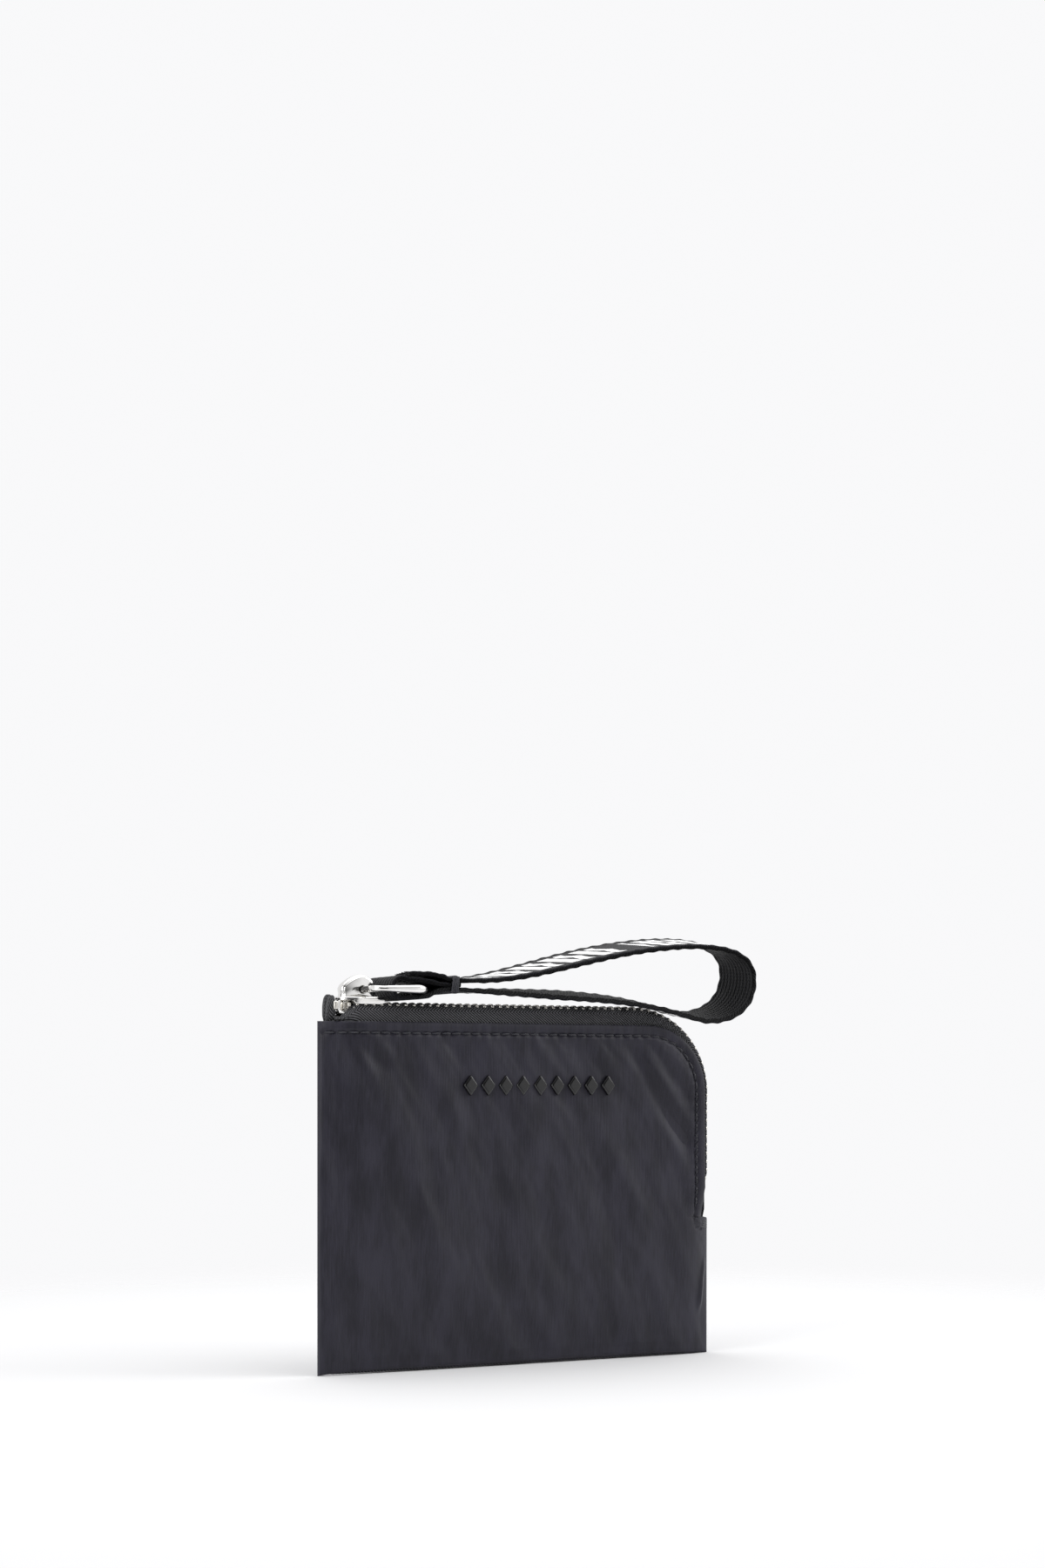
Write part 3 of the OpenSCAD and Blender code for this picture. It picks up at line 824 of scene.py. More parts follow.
def panel_columns(left, right, count):
    inner = EDGE_STEPS[-1]
    a, b = left + inner, right - inner
    middle = [a + (b - a) * k / count for k in range(1, count)]
    return [left + s for s in EDGE_STEPS] + middle + [right - s for s in EDGE_STEPS[::-1]]


def sheet_skin(rows, columns, outer, inner, drop):
    """A closed sheet from its rows: out across the face and back behind it."""
    rings = []
    for z in rows:
        xs = columns(z)
        base = drop(xs, z)
        face = [(x, -outer(x, z), h) for x, h in zip(xs, base)]
        rear = [(x, -inner(x, z), h) for x, h in zip(xs, base)]
        rings.append(face + rear[::-1])
    skin = Skin().loft(rings, rows, [0.0] * (len(rings[0]) + 1), ends="strip")
    skin.flats = [tuple((skin.points[i][0] + FLAT_SHIFT, skin.points[i][2]) for i in face)
                  for face in skin.faces]
    return skin


def panel_skin(cloth, gap, folds, seed):
    count = round((2 * SIDE_X - 2 * EDGE_STEPS[-1]) / gap)

    def outer(x, z):
        seam = min(x + SIDE_X, z, SIDE_X - x if z <= cloth.notch else 99)
        hem = cloth.hem_gap(x, z)
        calm = clamp(seam / 4) * clamp((hem - 1.5) / 5)
        relief = cloth.fold * calm * (cloth.streaks(x, z, seed) + cloth.creases(x, z, folds))
        relief += cloth.hem_relief(x, z) * clamp(seam / 1.2)
        if z > cloth.notch + cloth.STEP / 2:
            return cloth.roll(cloth.swell(x, z) + relief, min(x + SIDE_X, z), hem)
        return cloth.roll(cloth.swell(x, z) + relief, seam, 99)

    def inner(x, z):
        depth = cloth.swell(x, z) - cloth.shell
        hem = cloth.hem_gap(x, z) if z > cloth.notch + cloth.STEP / 2 else 99
        return depth + (cloth.shell * 0.48) * (1 - math.sqrt(1 - (1 - clamp(hem / 0.5)) ** 2))

    def drop(xs, z):
        """The bottom seam rises a little between its corners."""
        lift = 0.7 * (1 - clamp(z / 30)) ** 2
        return [z + lift * rise((x + SIDE_X) / 12) * rise((SIDE_X - x) / 30) for x in xs]

    def columns(z):
        return panel_columns(-SIDE_X, cloth.row_end(z), count)

    return sheet_skin(panel_rows(cloth, gap), columns, outer, inner, drop)


class POUCH_OT_panels(bpy.types.Operator):
    """Front and back panels, of woven nylon with a turned hem"""

    bl_idname = "pouch.panels"
    bl_label = "Panels"

    def execute(self, context):
        scene = context.scene
        cloth = Cloth(scene)
        gap = scene.pouch_cloth.grid / MM
        spare = scene.pouch_cloth.seam_allowance / MM
        flat = ((2 * SIDE_X + 2 * spare) * MM, (PANEL_H + 2 * spare) * MM)
        for name, folds, seed, mirror in (("front_panel", FRONT_FOLDS, cloth.seed, False),
                                          ("back_panel", BACK_FOLDS, cloth.seed + 40, True)):
            skin = panel_skin(cloth, gap, folds, seed)
            obj = skin.make(name + "_cloth", "pouch", ["shell"], [name], "shell_fabric",
                            sharp=None, mirror=mirror)
            CUT_SHARE * flat[0] * flat[1]
        return {"FINISHED"}


class POUCH_OT_linings(bpy.types.Operator):
    """The two lining sheets inside the panels"""

    bl_idname = "pouch.linings"
    bl_label = "Linings"

    def execute(self, context):
        scene = context.scene
        cloth = Cloth(scene)
        thick = scene.pouch_cloth.lining / MM
        # How far the lining lies inside the face, stops short of the seams,
        # and stays clear of its twin.
        depth, margin, least = 1.5, 5.0, 0.05
        flat = (2 * SIDE_X * MM, PANEL_H * MM)

        def outer(x, z):
            swell = cloth.swell(x, z)
            slack = 0.12 * noise.noise(Vector((x / 8, z / 14, 21)))
            return max(swell - depth + slack * clamp(swell - 3), least + thick)

        def columns(z):
            right = cloth.row_end(z) - margin
            left = -SIDE_X + margin
            return [left + (right - left) * k / 60 for k in range(61)]

        rows = [margin + z * (PANEL_H - 2 * margin) / PANEL_H for z in panel_rows(cloth, 2.4)]
        for name, mirror in (("front_lining", False), ("back_lining", True)):
            skin = sheet_skin(rows, columns, outer, lambda x, z: outer(x, z) - thick,
                              lambda xs, z: [z] * len(xs))
            obj = skin.make(name + "_cloth", "pouch", ["lining"], [name], "lining_fabric",
                            sharp=None, mirror=mirror)
            CUT_SHARE * flat[0] * flat[1]
        return {"FINISHED"}


class POUCH_OT_bottom_seam(bpy.types.Operator):
    """The bound edges inside the bottom seam"""

    bl_idname = "pouch.bottom_seam"
    bl_label = "Bottom seam binding"

    def execute(self, context):
        low, high = box_mm("bottom_seam_binding")
        cloth = Cloth(context.scene)
        rings, us = [], []
        steps = 120
        for k in range(steps + 1):
            x = low[0] + (high[0] - low[0]) * k / steps
            half = cloth.swell(x, 0) - cloth.shell - 0.3
            half = max(half, 0.06)
            wave = 0.12 * noise.noise(Vector((x / 5, 0, 3)))
            top = high[2] + wave
            section = [(-1, 0.0), (-1, 0.7), (-0.9, 0.92), (-0.35, 1), (-0.1, 0.8), (0.1, 0.8),
                       (0.35, 1), (0.9, 0.92), (1, 0.7), (1, 0.0)]
            rings.append([(x, half * y, 0.25 + (top - 0.25) * h) for y, h in section])
            us.append(x + FLAT_SHIFT)
        skin = Skin().loft(rings, us, [0, 2, 2.6, 3.2, 3.6, 4, 4.4, 5, 5.6, 7.6, 9])
        skin.make("bottom_seam_binding_tape", "pouch", ["tape"], ["bottom_seam_binding"],
                  "zip_tape")
        return {"FINISHED"}


# ------------------------------------------------------------------ the zip

class Chain:
    """The chain's middle line: along the mouth, round the corner and down."""

    DRAWN_IN = 1.2      # how far the closed sides draw the chain in
    TUCK = 1.6          # how much further it goes in at its closed end

    def __init__(self, scene):
        self.r = scene.pouch_zip.corner / MM
        self.cx = CHAIN_X - self.r
        self.cz = CHAIN_Z - self.r
        self.first = -SIDE_X + 8.5
        self.top = self.cx - self.first
        self.corner = self.r * math.pi / 2
        self.side = self.cz - (STOP_HIGH[2] - 0.6) - 2

    def at(self, s):
        """Point and turn, clockwise from level, at distance s from the first tooth."""
        if s <= self.top:
            return Vector((self.first + s, 0, CHAIN_Z)), 0.0
        if s <= self.top + self.corner:
            turn = (s - self.top) / self.r
            drawn = self.DRAWN_IN * (1 - math.cos(turn)) ** 2
            return Vector((self.cx + self.r * math.sin(turn) - drawn, 0,
                           self.cz + self.r * math.cos(turn))), turn
        down = s - self.top - self.corner
        tuck = self.TUCK * clamp((down - self.side + 9) / 6)
        return Vector((CHAIN_X - self.DRAWN_IN - tuck, 0, self.cz - down)), math.pi / 2

    def place(self, s, along, out, y):
        """A point at along and out from the chain's middle at s."""
        point, turn = self.at(s)
        return (point.x + along * math.cos(turn) + out * math.sin(turn), y,
                point.z - along * math.sin(turn) + out * math.cos(turn))


class POUCH_OT_zip_tapes(bpy.types.Operator):
    """The two herringbone tapes, with the corded edge that the teeth bite on"""

    bl_idname = "pouch.zip_tapes"
    bl_label = "Zip tapes"

    NARROW = 2.4            # how far in the tape runs by the notch
    # The tape's outer face: how far in from the chain's middle, and its depth.
    FACE = ((-0.82, 2.2), (-0.80, 2.65), (-0.55, 2.98), (-0.15, 3.12), (0.0, 3.4),
            (0.05, 3.75), (0.3, 4.05), (0.8, 4.35), (1.4, 4.52), (2.2, 4.64), (3.1, 4.74),
            (4.0, 4.82), (5.0, 4.86), (6.4, 4.88), (8.0, 4.90), (9.8, 4.93), (11.5, 4.95))

    def execute(self, context):
        scene = context.scene
        cloth, chain = Cloth(scene), Chain(scene)
        thick = scene.pouch_zip.tape / MM
        start = -SIDE_X + 3.7 - chain.first
        end = chain.top + chain.corner + chain.cz - (cloth.notch - 0.6)
        gap = 0.5
        count = round((end - start) / gap)
        lengths = [0.0]
        for a, b in zip(self.FACE, self.FACE[1:]):
            lengths.append(lengths[-1] + math.dist(a, b))
        vs = lengths + [v + 0.01 for v in lengths[::-1]] + [0.0]
        rings, us = [], []
        for k in range(count + 1):
            s = start + (end - start) * k / count
            rings.append(self.ring(cloth, chain, s, thick, scene.pouch_zip.tape_reach / MM))
            us.append(s + 20)
        skin = Skin().loft(rings, us, vs, ends="strip")
        for name, mirror in (("front_zip_tape", False), ("back_zip_tape", True)):
            skin.make(name + "_weave", "pouch", ["tape"], [name], "zip_tape", sharp=60,
                      mirror=mirror)
        return {"FINISHED"}

    def ring(self, cloth, chain, s, thick, full):
        """One section of the tape. It dips at the left end and by the notch."""
        side = rise((s - chain.top - 0.4 * chain.corner) / (0.6 * chain.corner))
        at_left = clamp((s + 2.4) / 5.0)
        dip = 3.9 * (1 - at_left) ** 1.3
        point, turn = chain.at(s)
        height = point.z
        reach = full
        if turn > 1.5:
            reach = self.NARROW + (full - self.NARROW) * clamp((height - cloth.notch - 9.5) / 3)
        short = 1 - (reach - self.NARROW) / (full - self.NARROW)
        edge = self.FACE[0][0]
        span = self.FACE[-1][0] - edge
        face, rear = [], []
        for inward, depth in self.FACE:
            depth -= (1.3 * side + 0.7 * short) * clamp((inward - 0.3) / 1.2)
            inward = dip + (inward - edge) * (reach - edge - dip) / span + edge
            x, _, z = chain.place(s, 0, -inward, 0)
            pucker = 0.16 * noise.noise(Vector((s / 2.4, inward / 5, 4)))
            near_end = bell(s - 1.0, 7)
            depth += pucker * (0.35 + 1.5 * near_end) * clamp(inward / 1.5)
            depth -= clamp((cloth.notch + 3 - height) / 4) * (depth - 2.6)
            inside = cloth.swell(min(x, cloth.row_end(min(z, PANEL_H)) - 0.5), min(z, PANEL_H))
            if z < PANEL_H + 0.6 and inward > 1:
                depth = min(depth, inside - cloth.shell - 0.1)
            face.append((x, -depth, z))
            rear.append((x, -(depth - thick), z - 0.02))
        return face + rear[::-1]


def tooth_skin(skin, chain, s):
    """One tooth: a rounded head past the middle, a body and two legs."""
    stations = ((-0.50, 0.26, 0.62), (-0.36, 0.42, 0.90), (-0.05, 0.50, 1.08),
                (0.60, 0.54, 1.18), (1.70, 0.58, 1.20), (2.35, 0.57, 1.14),
                (2.62, 0.54, 0.98), (2.86, 0.52, 0.66), (3.08, 0.44, 0.52), (3.2, 0.22, 0.26))
    sides = 16
    rings = []
    for y, a, b in stations:
        ring = []
        for j in range(sides):
            t = math.tau * j / sides
            c, d = math.cos(t), math.sin(t)
            along = a * math.copysign(abs(c) ** 0.55, c)
            out = b * math.copysign(abs(d) ** 0.55, d) + (0.2 if y > 2.7 else 0)
            ring.append(chain.place(s, along, out, -y))
        rings.append(ring)
    skin.loft(rings, [s[0] for s in stations], [j * 0.3 for j in range(sides + 1)])


class POUCH_OT_teeth(bpy.types.Operator):
    """The two rows of metal teeth"""

    bl_idname = "pouch.teeth"
    bl_label = "Teeth"

    def execute(self, context):
        chain = Chain(context.scene)
        pitch = context.scene.pouch_zip.pitch / MM
        for name, shift, mirror in (("front_teeth", 0.0, False), ("back_teeth", pitch / 2, True)):
            skin = Skin()
            s = shift
            while s <= chain.top + chain.corner + chain.side + 0.001:
                tooth_skin(skin, chain, s)
                s += pitch
            skin.make(name + "_metal", "pouch", ["zip_metal"], [name], "zip_metal", sharp=50,
                      mirror=mirror)
        return {"FINISHED"}


def pillow(skin, low, high, round_by, steps=3):
    """A block with all its edges rounded, between two corners."""
    cx, cy = (low[0] + high[0]) / 2, (low[1] + high[1]) / 2
    hx, hy = (high[0] - low[0]) / 2, (high[1] - low[1]) / 2
    turns = [math.pi / 2 * k / steps for k in range(steps + 1)]
    edge = [(round_by * (1 - math.cos(t)), round_by * (1 - math.sin(t))) for t in turns]
    levels = [(low[2] + h, cut) for h, cut in edge]
    levels += [(high[2] - h, cut) for h, cut in edge[::-1]]
    rings, us = [], []
    for z, cut in levels:
        ring = []
        r = max(round_by - cut, 0.02)
        for qx, qy, a0 in ((1, 1, 0), (-1, 1, 90), (-1, -1, 180), (1, -1, 270)):
            for k in range(steps + 1):
                a = math.radians(a0 + 90 * k / steps)
                ring.append((cx + qx * (hx - round_by) + r * math.cos(a),
                             cy + qy * (hy - round_by) + r * math.sin(a), z))
        rings.append(ring)
        us.append(z)
    skin.loft(rings, us, [0.3 * j for j in range(len(rings[0]) + 1)])
    return skin


class POUCH_OT_stops(bpy.types.Operator):
    """The stops at the two ends of the zip"""

    bl_idname = "pouch.stops"
    bl_label = "Zip stops"

    def execute(self, context):
        low, high = box_mm("top_stops")
        skin = Skin()
        inner = 1.2
        for side in (-1, 1):
            ys = sorted((side * inner, side * high[1]))
            pillow(skin, (low[0], ys[0], low[2]), (high[0], ys[1], high[2]), 0.35)
        skin.make("top_stops_metal", "pouch", ["zip_metal"], ["top_stops"], "zip_metal")
        drawn = Chain.DRAWN_IN + Chain.TUCK + 0.4
        half = 1.7
        skin = pillow(Skin(), (STOP_LOW[0] - drawn, -half, STOP_LOW[2]),
                      (STOP_HIGH[0] - drawn, half, STOP_HIGH[2]), 0.5)
        skin.make("bottom_stop_metal", "pouch", ["zip_metal"], ["bottom_stop"], "zip_metal")
        return {"FINISHED"}


class POUCH_OT_tape_ends(bpy.types.Operator):
    """The tapes' ends, each folded down on itself at the left of the mouth"""

    bl_idname = "pouch.tape_ends"
    bl_label = "Tape ends"

    def execute(self, context):
        foot = box_mm("tape_end_folds")[0][2]
        # Height above the foot, left and right, distance from the middle and half depth.
        stations = ((-1.6, 2.3, 5.6, 0.62, 0.55), (-0.2, 2.1, 5.3, 0.75, 0.70),
                    (1.0, 2.0, 5.0, 0.95, 0.92), (2.4, 2.0, 4.8, 1.15, 1.1),
                    (3.8, 2.1, 4.75, 1.25, 1.2), (5.1, 2.3, 4.7, 1.3, 1.2),
                    (6.1, 2.6, 4.6, 1.3, 1.1), (6.8, 2.95, 4.4, 1.25, 0.9),
                    (7.2, 3.3, 4.1, 1.2, 0.5))
        skin = Skin()
        sides = 28
        for side in (-1, 1):
            rings, us = [], []
            for h, left, right, out, half in stations:
                ring = []
                for j in range(sides):
                    t = math.tau * j / sides
                    c, d = math.cos(t), math.sin(t)
                    x = -SIDE_X + (left + right) / 2 + (right - left) / 2 \
                        * math.copysign(abs(c) ** 0.7, c)
                    crumple = 0.22 * noise.noise(Vector((x / 1.1, h / 2.0, 9 * side)))
                    y = side * out + (half + crumple) * math.copysign(abs(d) ** 0.75, d)
                    ring.append((x + crumple, y, foot + h + side * 0.15))
                rings.append(ring)
                us.append(h)
            skin.loft(rings, us, [0.45 * j for j in range(sides + 1)])
        skin.make("tape_end_folds_weave", "pouch", ["tape"], ["tape_end_folds"], "zip_tape",
                  sharp=70)
        return {"FINISHED"}


# -------------------------------------------------------------- the stitches

class POUCH_OT_topstitching(bpy.types.Operator):
    """The stitches along the hem, on both panels"""

    bl_idname = "pouch.topstitching"
    bl_label = "Topstitching"

    def execute(self, context):
        scene = context.scene
        cloth = Cloth(scene)
        sewing = scene.pouch_stitching
        r, share = sewing.thread / MM, sewing.share
        total = cloth.sew_top + cloth.sew_arc + cloth.sew_side - cloth.pitch
        spots = random.Random(3)
        for name, mirror in (("front_topstitch", False), ("back_topstitch", True)):
            skin = Skin()
            s = 0.0
            while s <= total:
                self.stitch(skin, cloth, s, share, r, spots)
                s += cloth.pitch
            skin.make(name + "_thread", "pouch", ["thread"], [name], "thread", mirror=mirror)
        return {"FINISHED"}

    def stitch(self, skin, cloth, s, share, r, spots):
        """One stitch: it comes up from its hole, lies on the cloth and goes down."""
        skew = spots.uniform(-0.16, 0.16)
        path, radii = [], []
        steps = 9
        for k in range(steps):
            t = k / (steps - 1)
            x, z = cloth.sew_at(s + share * cloth.pitch * t)
            lift = -0.42 + 0.72 * math.sin(math.pi * t) ** 0.5
            z += skew * (t - 0.5)
            path.append((x, -(cloth.swell(x, z) + lift), z))
            radii.append(r * (0.85 + 0.15 * math.sin(math.pi * t)))
        skin.tube(path, radii, 10, Vector((0, 0, 1)))


class POUCH_OT_side_tacks(bpy.types.Operator):
    """The tacks across the seam at the notch, front and back"""

    bl_idname = "pouch.side_tacks"
    bl_label = "Side tacks"

    def execute(self, context):
        low, high = box_mm("side_bartacks")
        cloth = Cloth(context.scene)
        skin = Skin()
        count = 7
        for side in (-1, 1):
            for k in range(count):
                z = low[2] + 0.3 + (high[2] - low[2] - 0.6) * k / (count - 1)
                lean = 0.25 if k % 2 else -0.25
                path = []
                for j in range(7):
                    t = j / 6
                    x = cloth.hem_x - 0.2 + (SIDE_X - 0.5 - cloth.hem_x) * t
                    lift = -0.15 + 0.3 * math.sin(math.pi * t) ** 0.6
                    path.append((x, side * (cloth.swell(x, z) + lift), z + lean * (t - 0.5)))
                skin.tube(path, [0.2] * 7, 8, Vector((0, 0, 1)))
        skin.make("side_bartacks_thread", "pouch", ["thread"], ["side_bartacks"], "thread")
        return {"FINISHED"}


class POUCH_OT_studs(bpy.types.Operator):
    """A row of glossy lozenge studs on the front"""

    bl_idname = "pouch.studs"
    bl_label = "Emblem studs"

    COUNT = 9
    PITCH = 5.75

    def execute(self, context):
        middle = (STUD_LOW[0] + STUD_HIGH[0]) / 2
        half_w, half_h = (self.PITCH - 1) / 2, (STUD_HIGH[2] - STUD_LOW[2]) / 2
        z = (STUD_HIGH[2] + STUD_LOW[2]) / 2
        base, face = STUD_HIGH[1] + 0.5, STUD_LOW[1]
        skin = Skin()
        for k in range(self.COUNT):
            x = middle + (k - (self.COUNT - 1) / 2) * self.PITCH
            rings, us = [], []
            for y, cut in ((base, 0.0), (face + 0.50, 0.0), (face + 0.36, 0.03),
                           (face + 0.22, 0.11), (face + 0.10, 0.23), (face + 0.03, 0.38),
                           (face, 0.55), (face, 1.1)):
                rings.append(self.ring(x, y, z, half_w, half_h, cut))
                us.append(y)
            skin.loft(rings, us, [0.5 * j for j in range(len(rings[0]) + 1)])
        skin.make("emblem_studs_gloss", "pouch", ["emblem"], ["emblem_studs"], "emblem")
        return {"FINISHED"}

    def ring(self, x, y, z, half_w, half_h, cut):
        """A lozenge with rounded corners, drawn in by cut on every side."""
        grow = 1 - cut / (half_w * half_h / math.hypot(half_w, half_h))
        corners = [(half_w, 0), (0, half_h), (-half_w, 0), (0, -half_h)]
        ring = []
        for k in range(4):
            a, b, c = (Vector(corners[(k + j - 1) % 4]) for j in (0, 1, 2))
            first, last = b.lerp(a, 0.12), b.lerp(c, 0.12)
            for t in (0.0, 0.25, 0.5, 0.75, 1.0):
                p = first.lerp(b, t).lerp(b.lerp(last, t), t)
                ring.append((x + p.x * grow, y, z + p.y * grow))
        return ring


# -------------------------------------------------------------- the slider

BAR_X = BODY_LOW[0] + 7.6
RING_Z = (RING_LOW[2] + RING_HIGH[2]) / 2
BAR_R = 0.95
WIRE_R = 1.25


def cut_away(obj, tools):
    """Takes the tools' shapes out of obj, and puts the mesh in place of its own."""
    for tool in tools:
        cut = obj.modifiers.new("cut", "BOOLEAN")
        cut.operation = "DIFFERENCE"
        cut.solver = "EXACT"
        cut.object = tool
    bpy.context.view_layer.update()
    seen = obj.evaluated_get(bpy.context.evaluated_depsgraph_get())
    mesh = bpy.data.meshes.new_from_object(seen)
    obj.modifiers.clear()
    old, obj.data = obj.data, mesh
    mesh.name = obj.name
    bpy.data.meshes.remove(old)
    mesh.set_sharp_from_angle(angle=math.radians(38))
    for tool in tools:
        gone = tool.data
        bpy.data.objects.remove(tool)
        bpy.data.meshes.remove(gone)


def crown_ring(y, grow, floor):
    """The crown's outline at y: a dome over the bar, and a shoulder to the nose."""
    cx, r = BAR_X, CROWN_HIGH[2] - RING_Z
    points = []
    steps = 44
    nose_x = BAR_X - 6.5
    for k in range(steps + 1):
        a = math.radians(-32 + (180 + 32 + 12) * k / steps)
        c, s = math.cos(a), math.sin(a)
        reach = r * (1 + 0.46 * max(0.0, -c) ** 1.5)
        x, z = cx + reach * c, RING_Z + r * s * (1 - 0.10 * clamp(-c) ** 2)
        if z < floor:
            continue
        points.append((x, z))
    left = max(nose_x, points[-1][0] - 0.1)
    points.append((left, floor))
    right = points[0][0]
    points.append(((left + right) / 2, floor))
    points.append((right, floor))
    mx, mz = cx - 1.0, (RING_Z + floor) / 2
    out = []
    for x, z in points:
        dx, dz = x - mx, z - mz
        span = math.hypot(dx, dz)
        scale = (span + grow) / span
        height = mz + dz * scale
        if grow <= 0:
            height = max(height, floor)
        out.append((mx + dx * scale, y, height))
    return out


def crown_skin(levels, floor):
    rings = [crown_ring(y, grow, floor) for y, grow in levels]
    return Skin().loft(rings, [y for y, _ in levels],
                       [0.3 * j for j in range(len(rings[0]) + 1)])


class POUCH_OT_slider(bpy.types.Operator):
    """The slider's body and its domed crown"""

    bl_idname = "pouch.slider"
    bl_label = "Slider"

    def execute(self, context):
        self.crown()
        self.body()
        return {"FINISHED"}

    def crown(self):
        half = (CROWN_HIGH[1] - CROWN_LOW[1]) / 2
        deck = BODY_HIGH[2]
        levels = [(-half, -1.05), (-half + 0.03, -0.9), (-half + 0.16, -0.78),
                  (-half + 0.36, -0.80), (-half + 0.46, -0.62), (-half + 0.62, -0.34),
                  (-half + 0.95, -0.12), (-half + 1.45, -0.01), (0, 0.02)]
        levels += [(-y, g) for y, g in levels[-2::-1]]
        outer = crown_skin(levels, deck - 0.12)
        obj = outer.make("slider_crown_cover", None, ["hardware"])
        wall = 0.8
        hollow = crown_skin([(-half + wall, -wall), (half - wall, -wall)], deck - 0.6)
        inner = hollow.make("crown_hollow", None, ["hardware"])
        hole = Skin().tube([(BAR_X, -6, RING_Z), (BAR_X, 0, RING_Z), (BAR_X, 6, RING_Z)],
                           [1.25] * 3, 40, Vector((0, 0, 1)), domes=False)
        hole = hole.make("crown_hole", None, ["hardware"])
        cut_away(obj, [inner, hole])
        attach(obj, "slider")
        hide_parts("slider_crown")

    def plate_ring(self, z, half, cut, x0, x1):
        """The plate's outline at z: narrow at the nose, full past a third."""
        span = x1 - x0
        side = []
        for t in (0.0, 0.02, 0.06, 0.12, 0.2, 0.3, 0.4, 0.5, 0.65, 0.8, 0.92, 0.97, 0.99):
            wide = 0.55 + 0.45 * math.sin(math.pi / 2 * clamp(t / 0.36)) ** 1.2
            nose = math.sqrt(1 - (1 - clamp(t / 0.10)) ** 2)
            tail = math.sqrt(1 - clamp((t - 0.93) / 0.0602) ** 2)
            y = half * wide * (0.35 + 0.65 * nose) * (0.72 + 0.28 * tail)
            side.append((x0 + cut + (span - 2 * cut) * t, max(y - cut, 0.1)))
        return ([(x, -y, z) for x, y in side] + [(x, y, z) for x, y in side[::-1]])

    def body(self):
        x0, x1 = BODY_LOW[0], BODY_HIGH[0]
        top, low = BODY_HIGH[2], BODY_LOW[2]
        thick, half = 1.1, BODY_HIGH[1]
        skin = Skin()
        levels = ((top - thick, 0.25), (top - thick + 0.2, 0.02), (top - 0.4, 0.0),
                  (top - 0.15, 0.1), (top - 0.03, 0.28), (top, 0.5))
        rings = [self.plate_ring(z, half, cut, x0, x1) for z, cut in levels]
        skin.loft(rings, [z for z, _ in levels], [0.5 * j for j in range(len(rings[0]) + 1)],
                  ends="strip")
        levels = ((low, 0.4), (low + 0.1, 0.12), (low + 0.35, 0.0), (low + thick - 0.2, 0.0),
                  (low + thick, 0.2))
        rings = [self.plate_ring(z, 3.43, cut, x0, x1) for z, cut in levels]
        skin.loft(rings, [z for z, _ in levels], [0.5 * j for j in range(len(rings[0]) + 1)],
                  ends="strip")
        self.flanges(skin, x0, x1, top - thick)
        self.post(skin, x0, low + thick - 0.3, top - thick + 0.3)
        skin.make("slider_body_cast", "slider", ["hardware"], ["slider_body"], "hardware",
                  sharp=38)

    def flanges(self, skin, x0, x1, under):
        """The lips that hold the chain in: tall ones above, low ones below."""
        for side in (-1, 1):
            rings, us = [], []
            for t in (0.0, 0.03, 0.08, 0.2, 0.5, 0.8, 0.93, 0.975, 1.0):
                x = x0 + 4.0 + (x1 - x0 - 4.1) * t
                ends = math.sqrt(max(0.0, 1 - (2 * t - 1) ** 10))
                drop = 0.25 + 0.75 * ends
                flare = 0.06 * clamp((t - 0.6) / 0.3)
                section = ((3.2, 0.1), (3.2, -0.5 * drop), (3.32, -0.92 * drop),
                           (3.55, -1.0 * drop), (4.35, -1.0 * drop - flare),
                           (4.52, -0.9 * drop), (4.6, -0.6 * drop), (4.6, 0.1))
                rings.append([(x, side * (y * (0.94 + 0.06 * ends)), under + z)
                              for y, z in section])
                us.append(x)
            if side < 0:
                rings = [r[::-1] for r in rings]
            skin.loft(rings, us, [0.4 * j for j in range(9)])
            pillow(skin, (x0 + 4.2, min(side * 3.18, side * 3.44), CHAIN_Z - 1.6),
                   (x1 - 0.2, max(side * 3.18, side * 3.44), CHAIN_Z - 0.42), 0.1)

    def post(self, skin, x0, z0, z1):
        """The wedge that joins the plates at the nose and parts the teeth."""
        rings, us = [], []
        for k in range(7):
            z = z0 + (z1 - z0) * k / 6
            wide = 1 + 0.10 * (2 * k / 6 - 1) ** 2
            ring = []
            for dx, y in ((0.15, 0.55), (0.5, 0.92), (1.2, 0.95), (1.9, 0.62), (2.4, 0.40),
                          (2.4, -0.40), (1.9, -0.62), (1.2, -0.95), (0.5, -0.92), (0.15, -0.55)):
                ring.append((x0 + dx, y * wide, z))
            rings.append(ring)
            us.append(z)
        skin.loft(rings, us, [0.5 * j for j in range(11)])


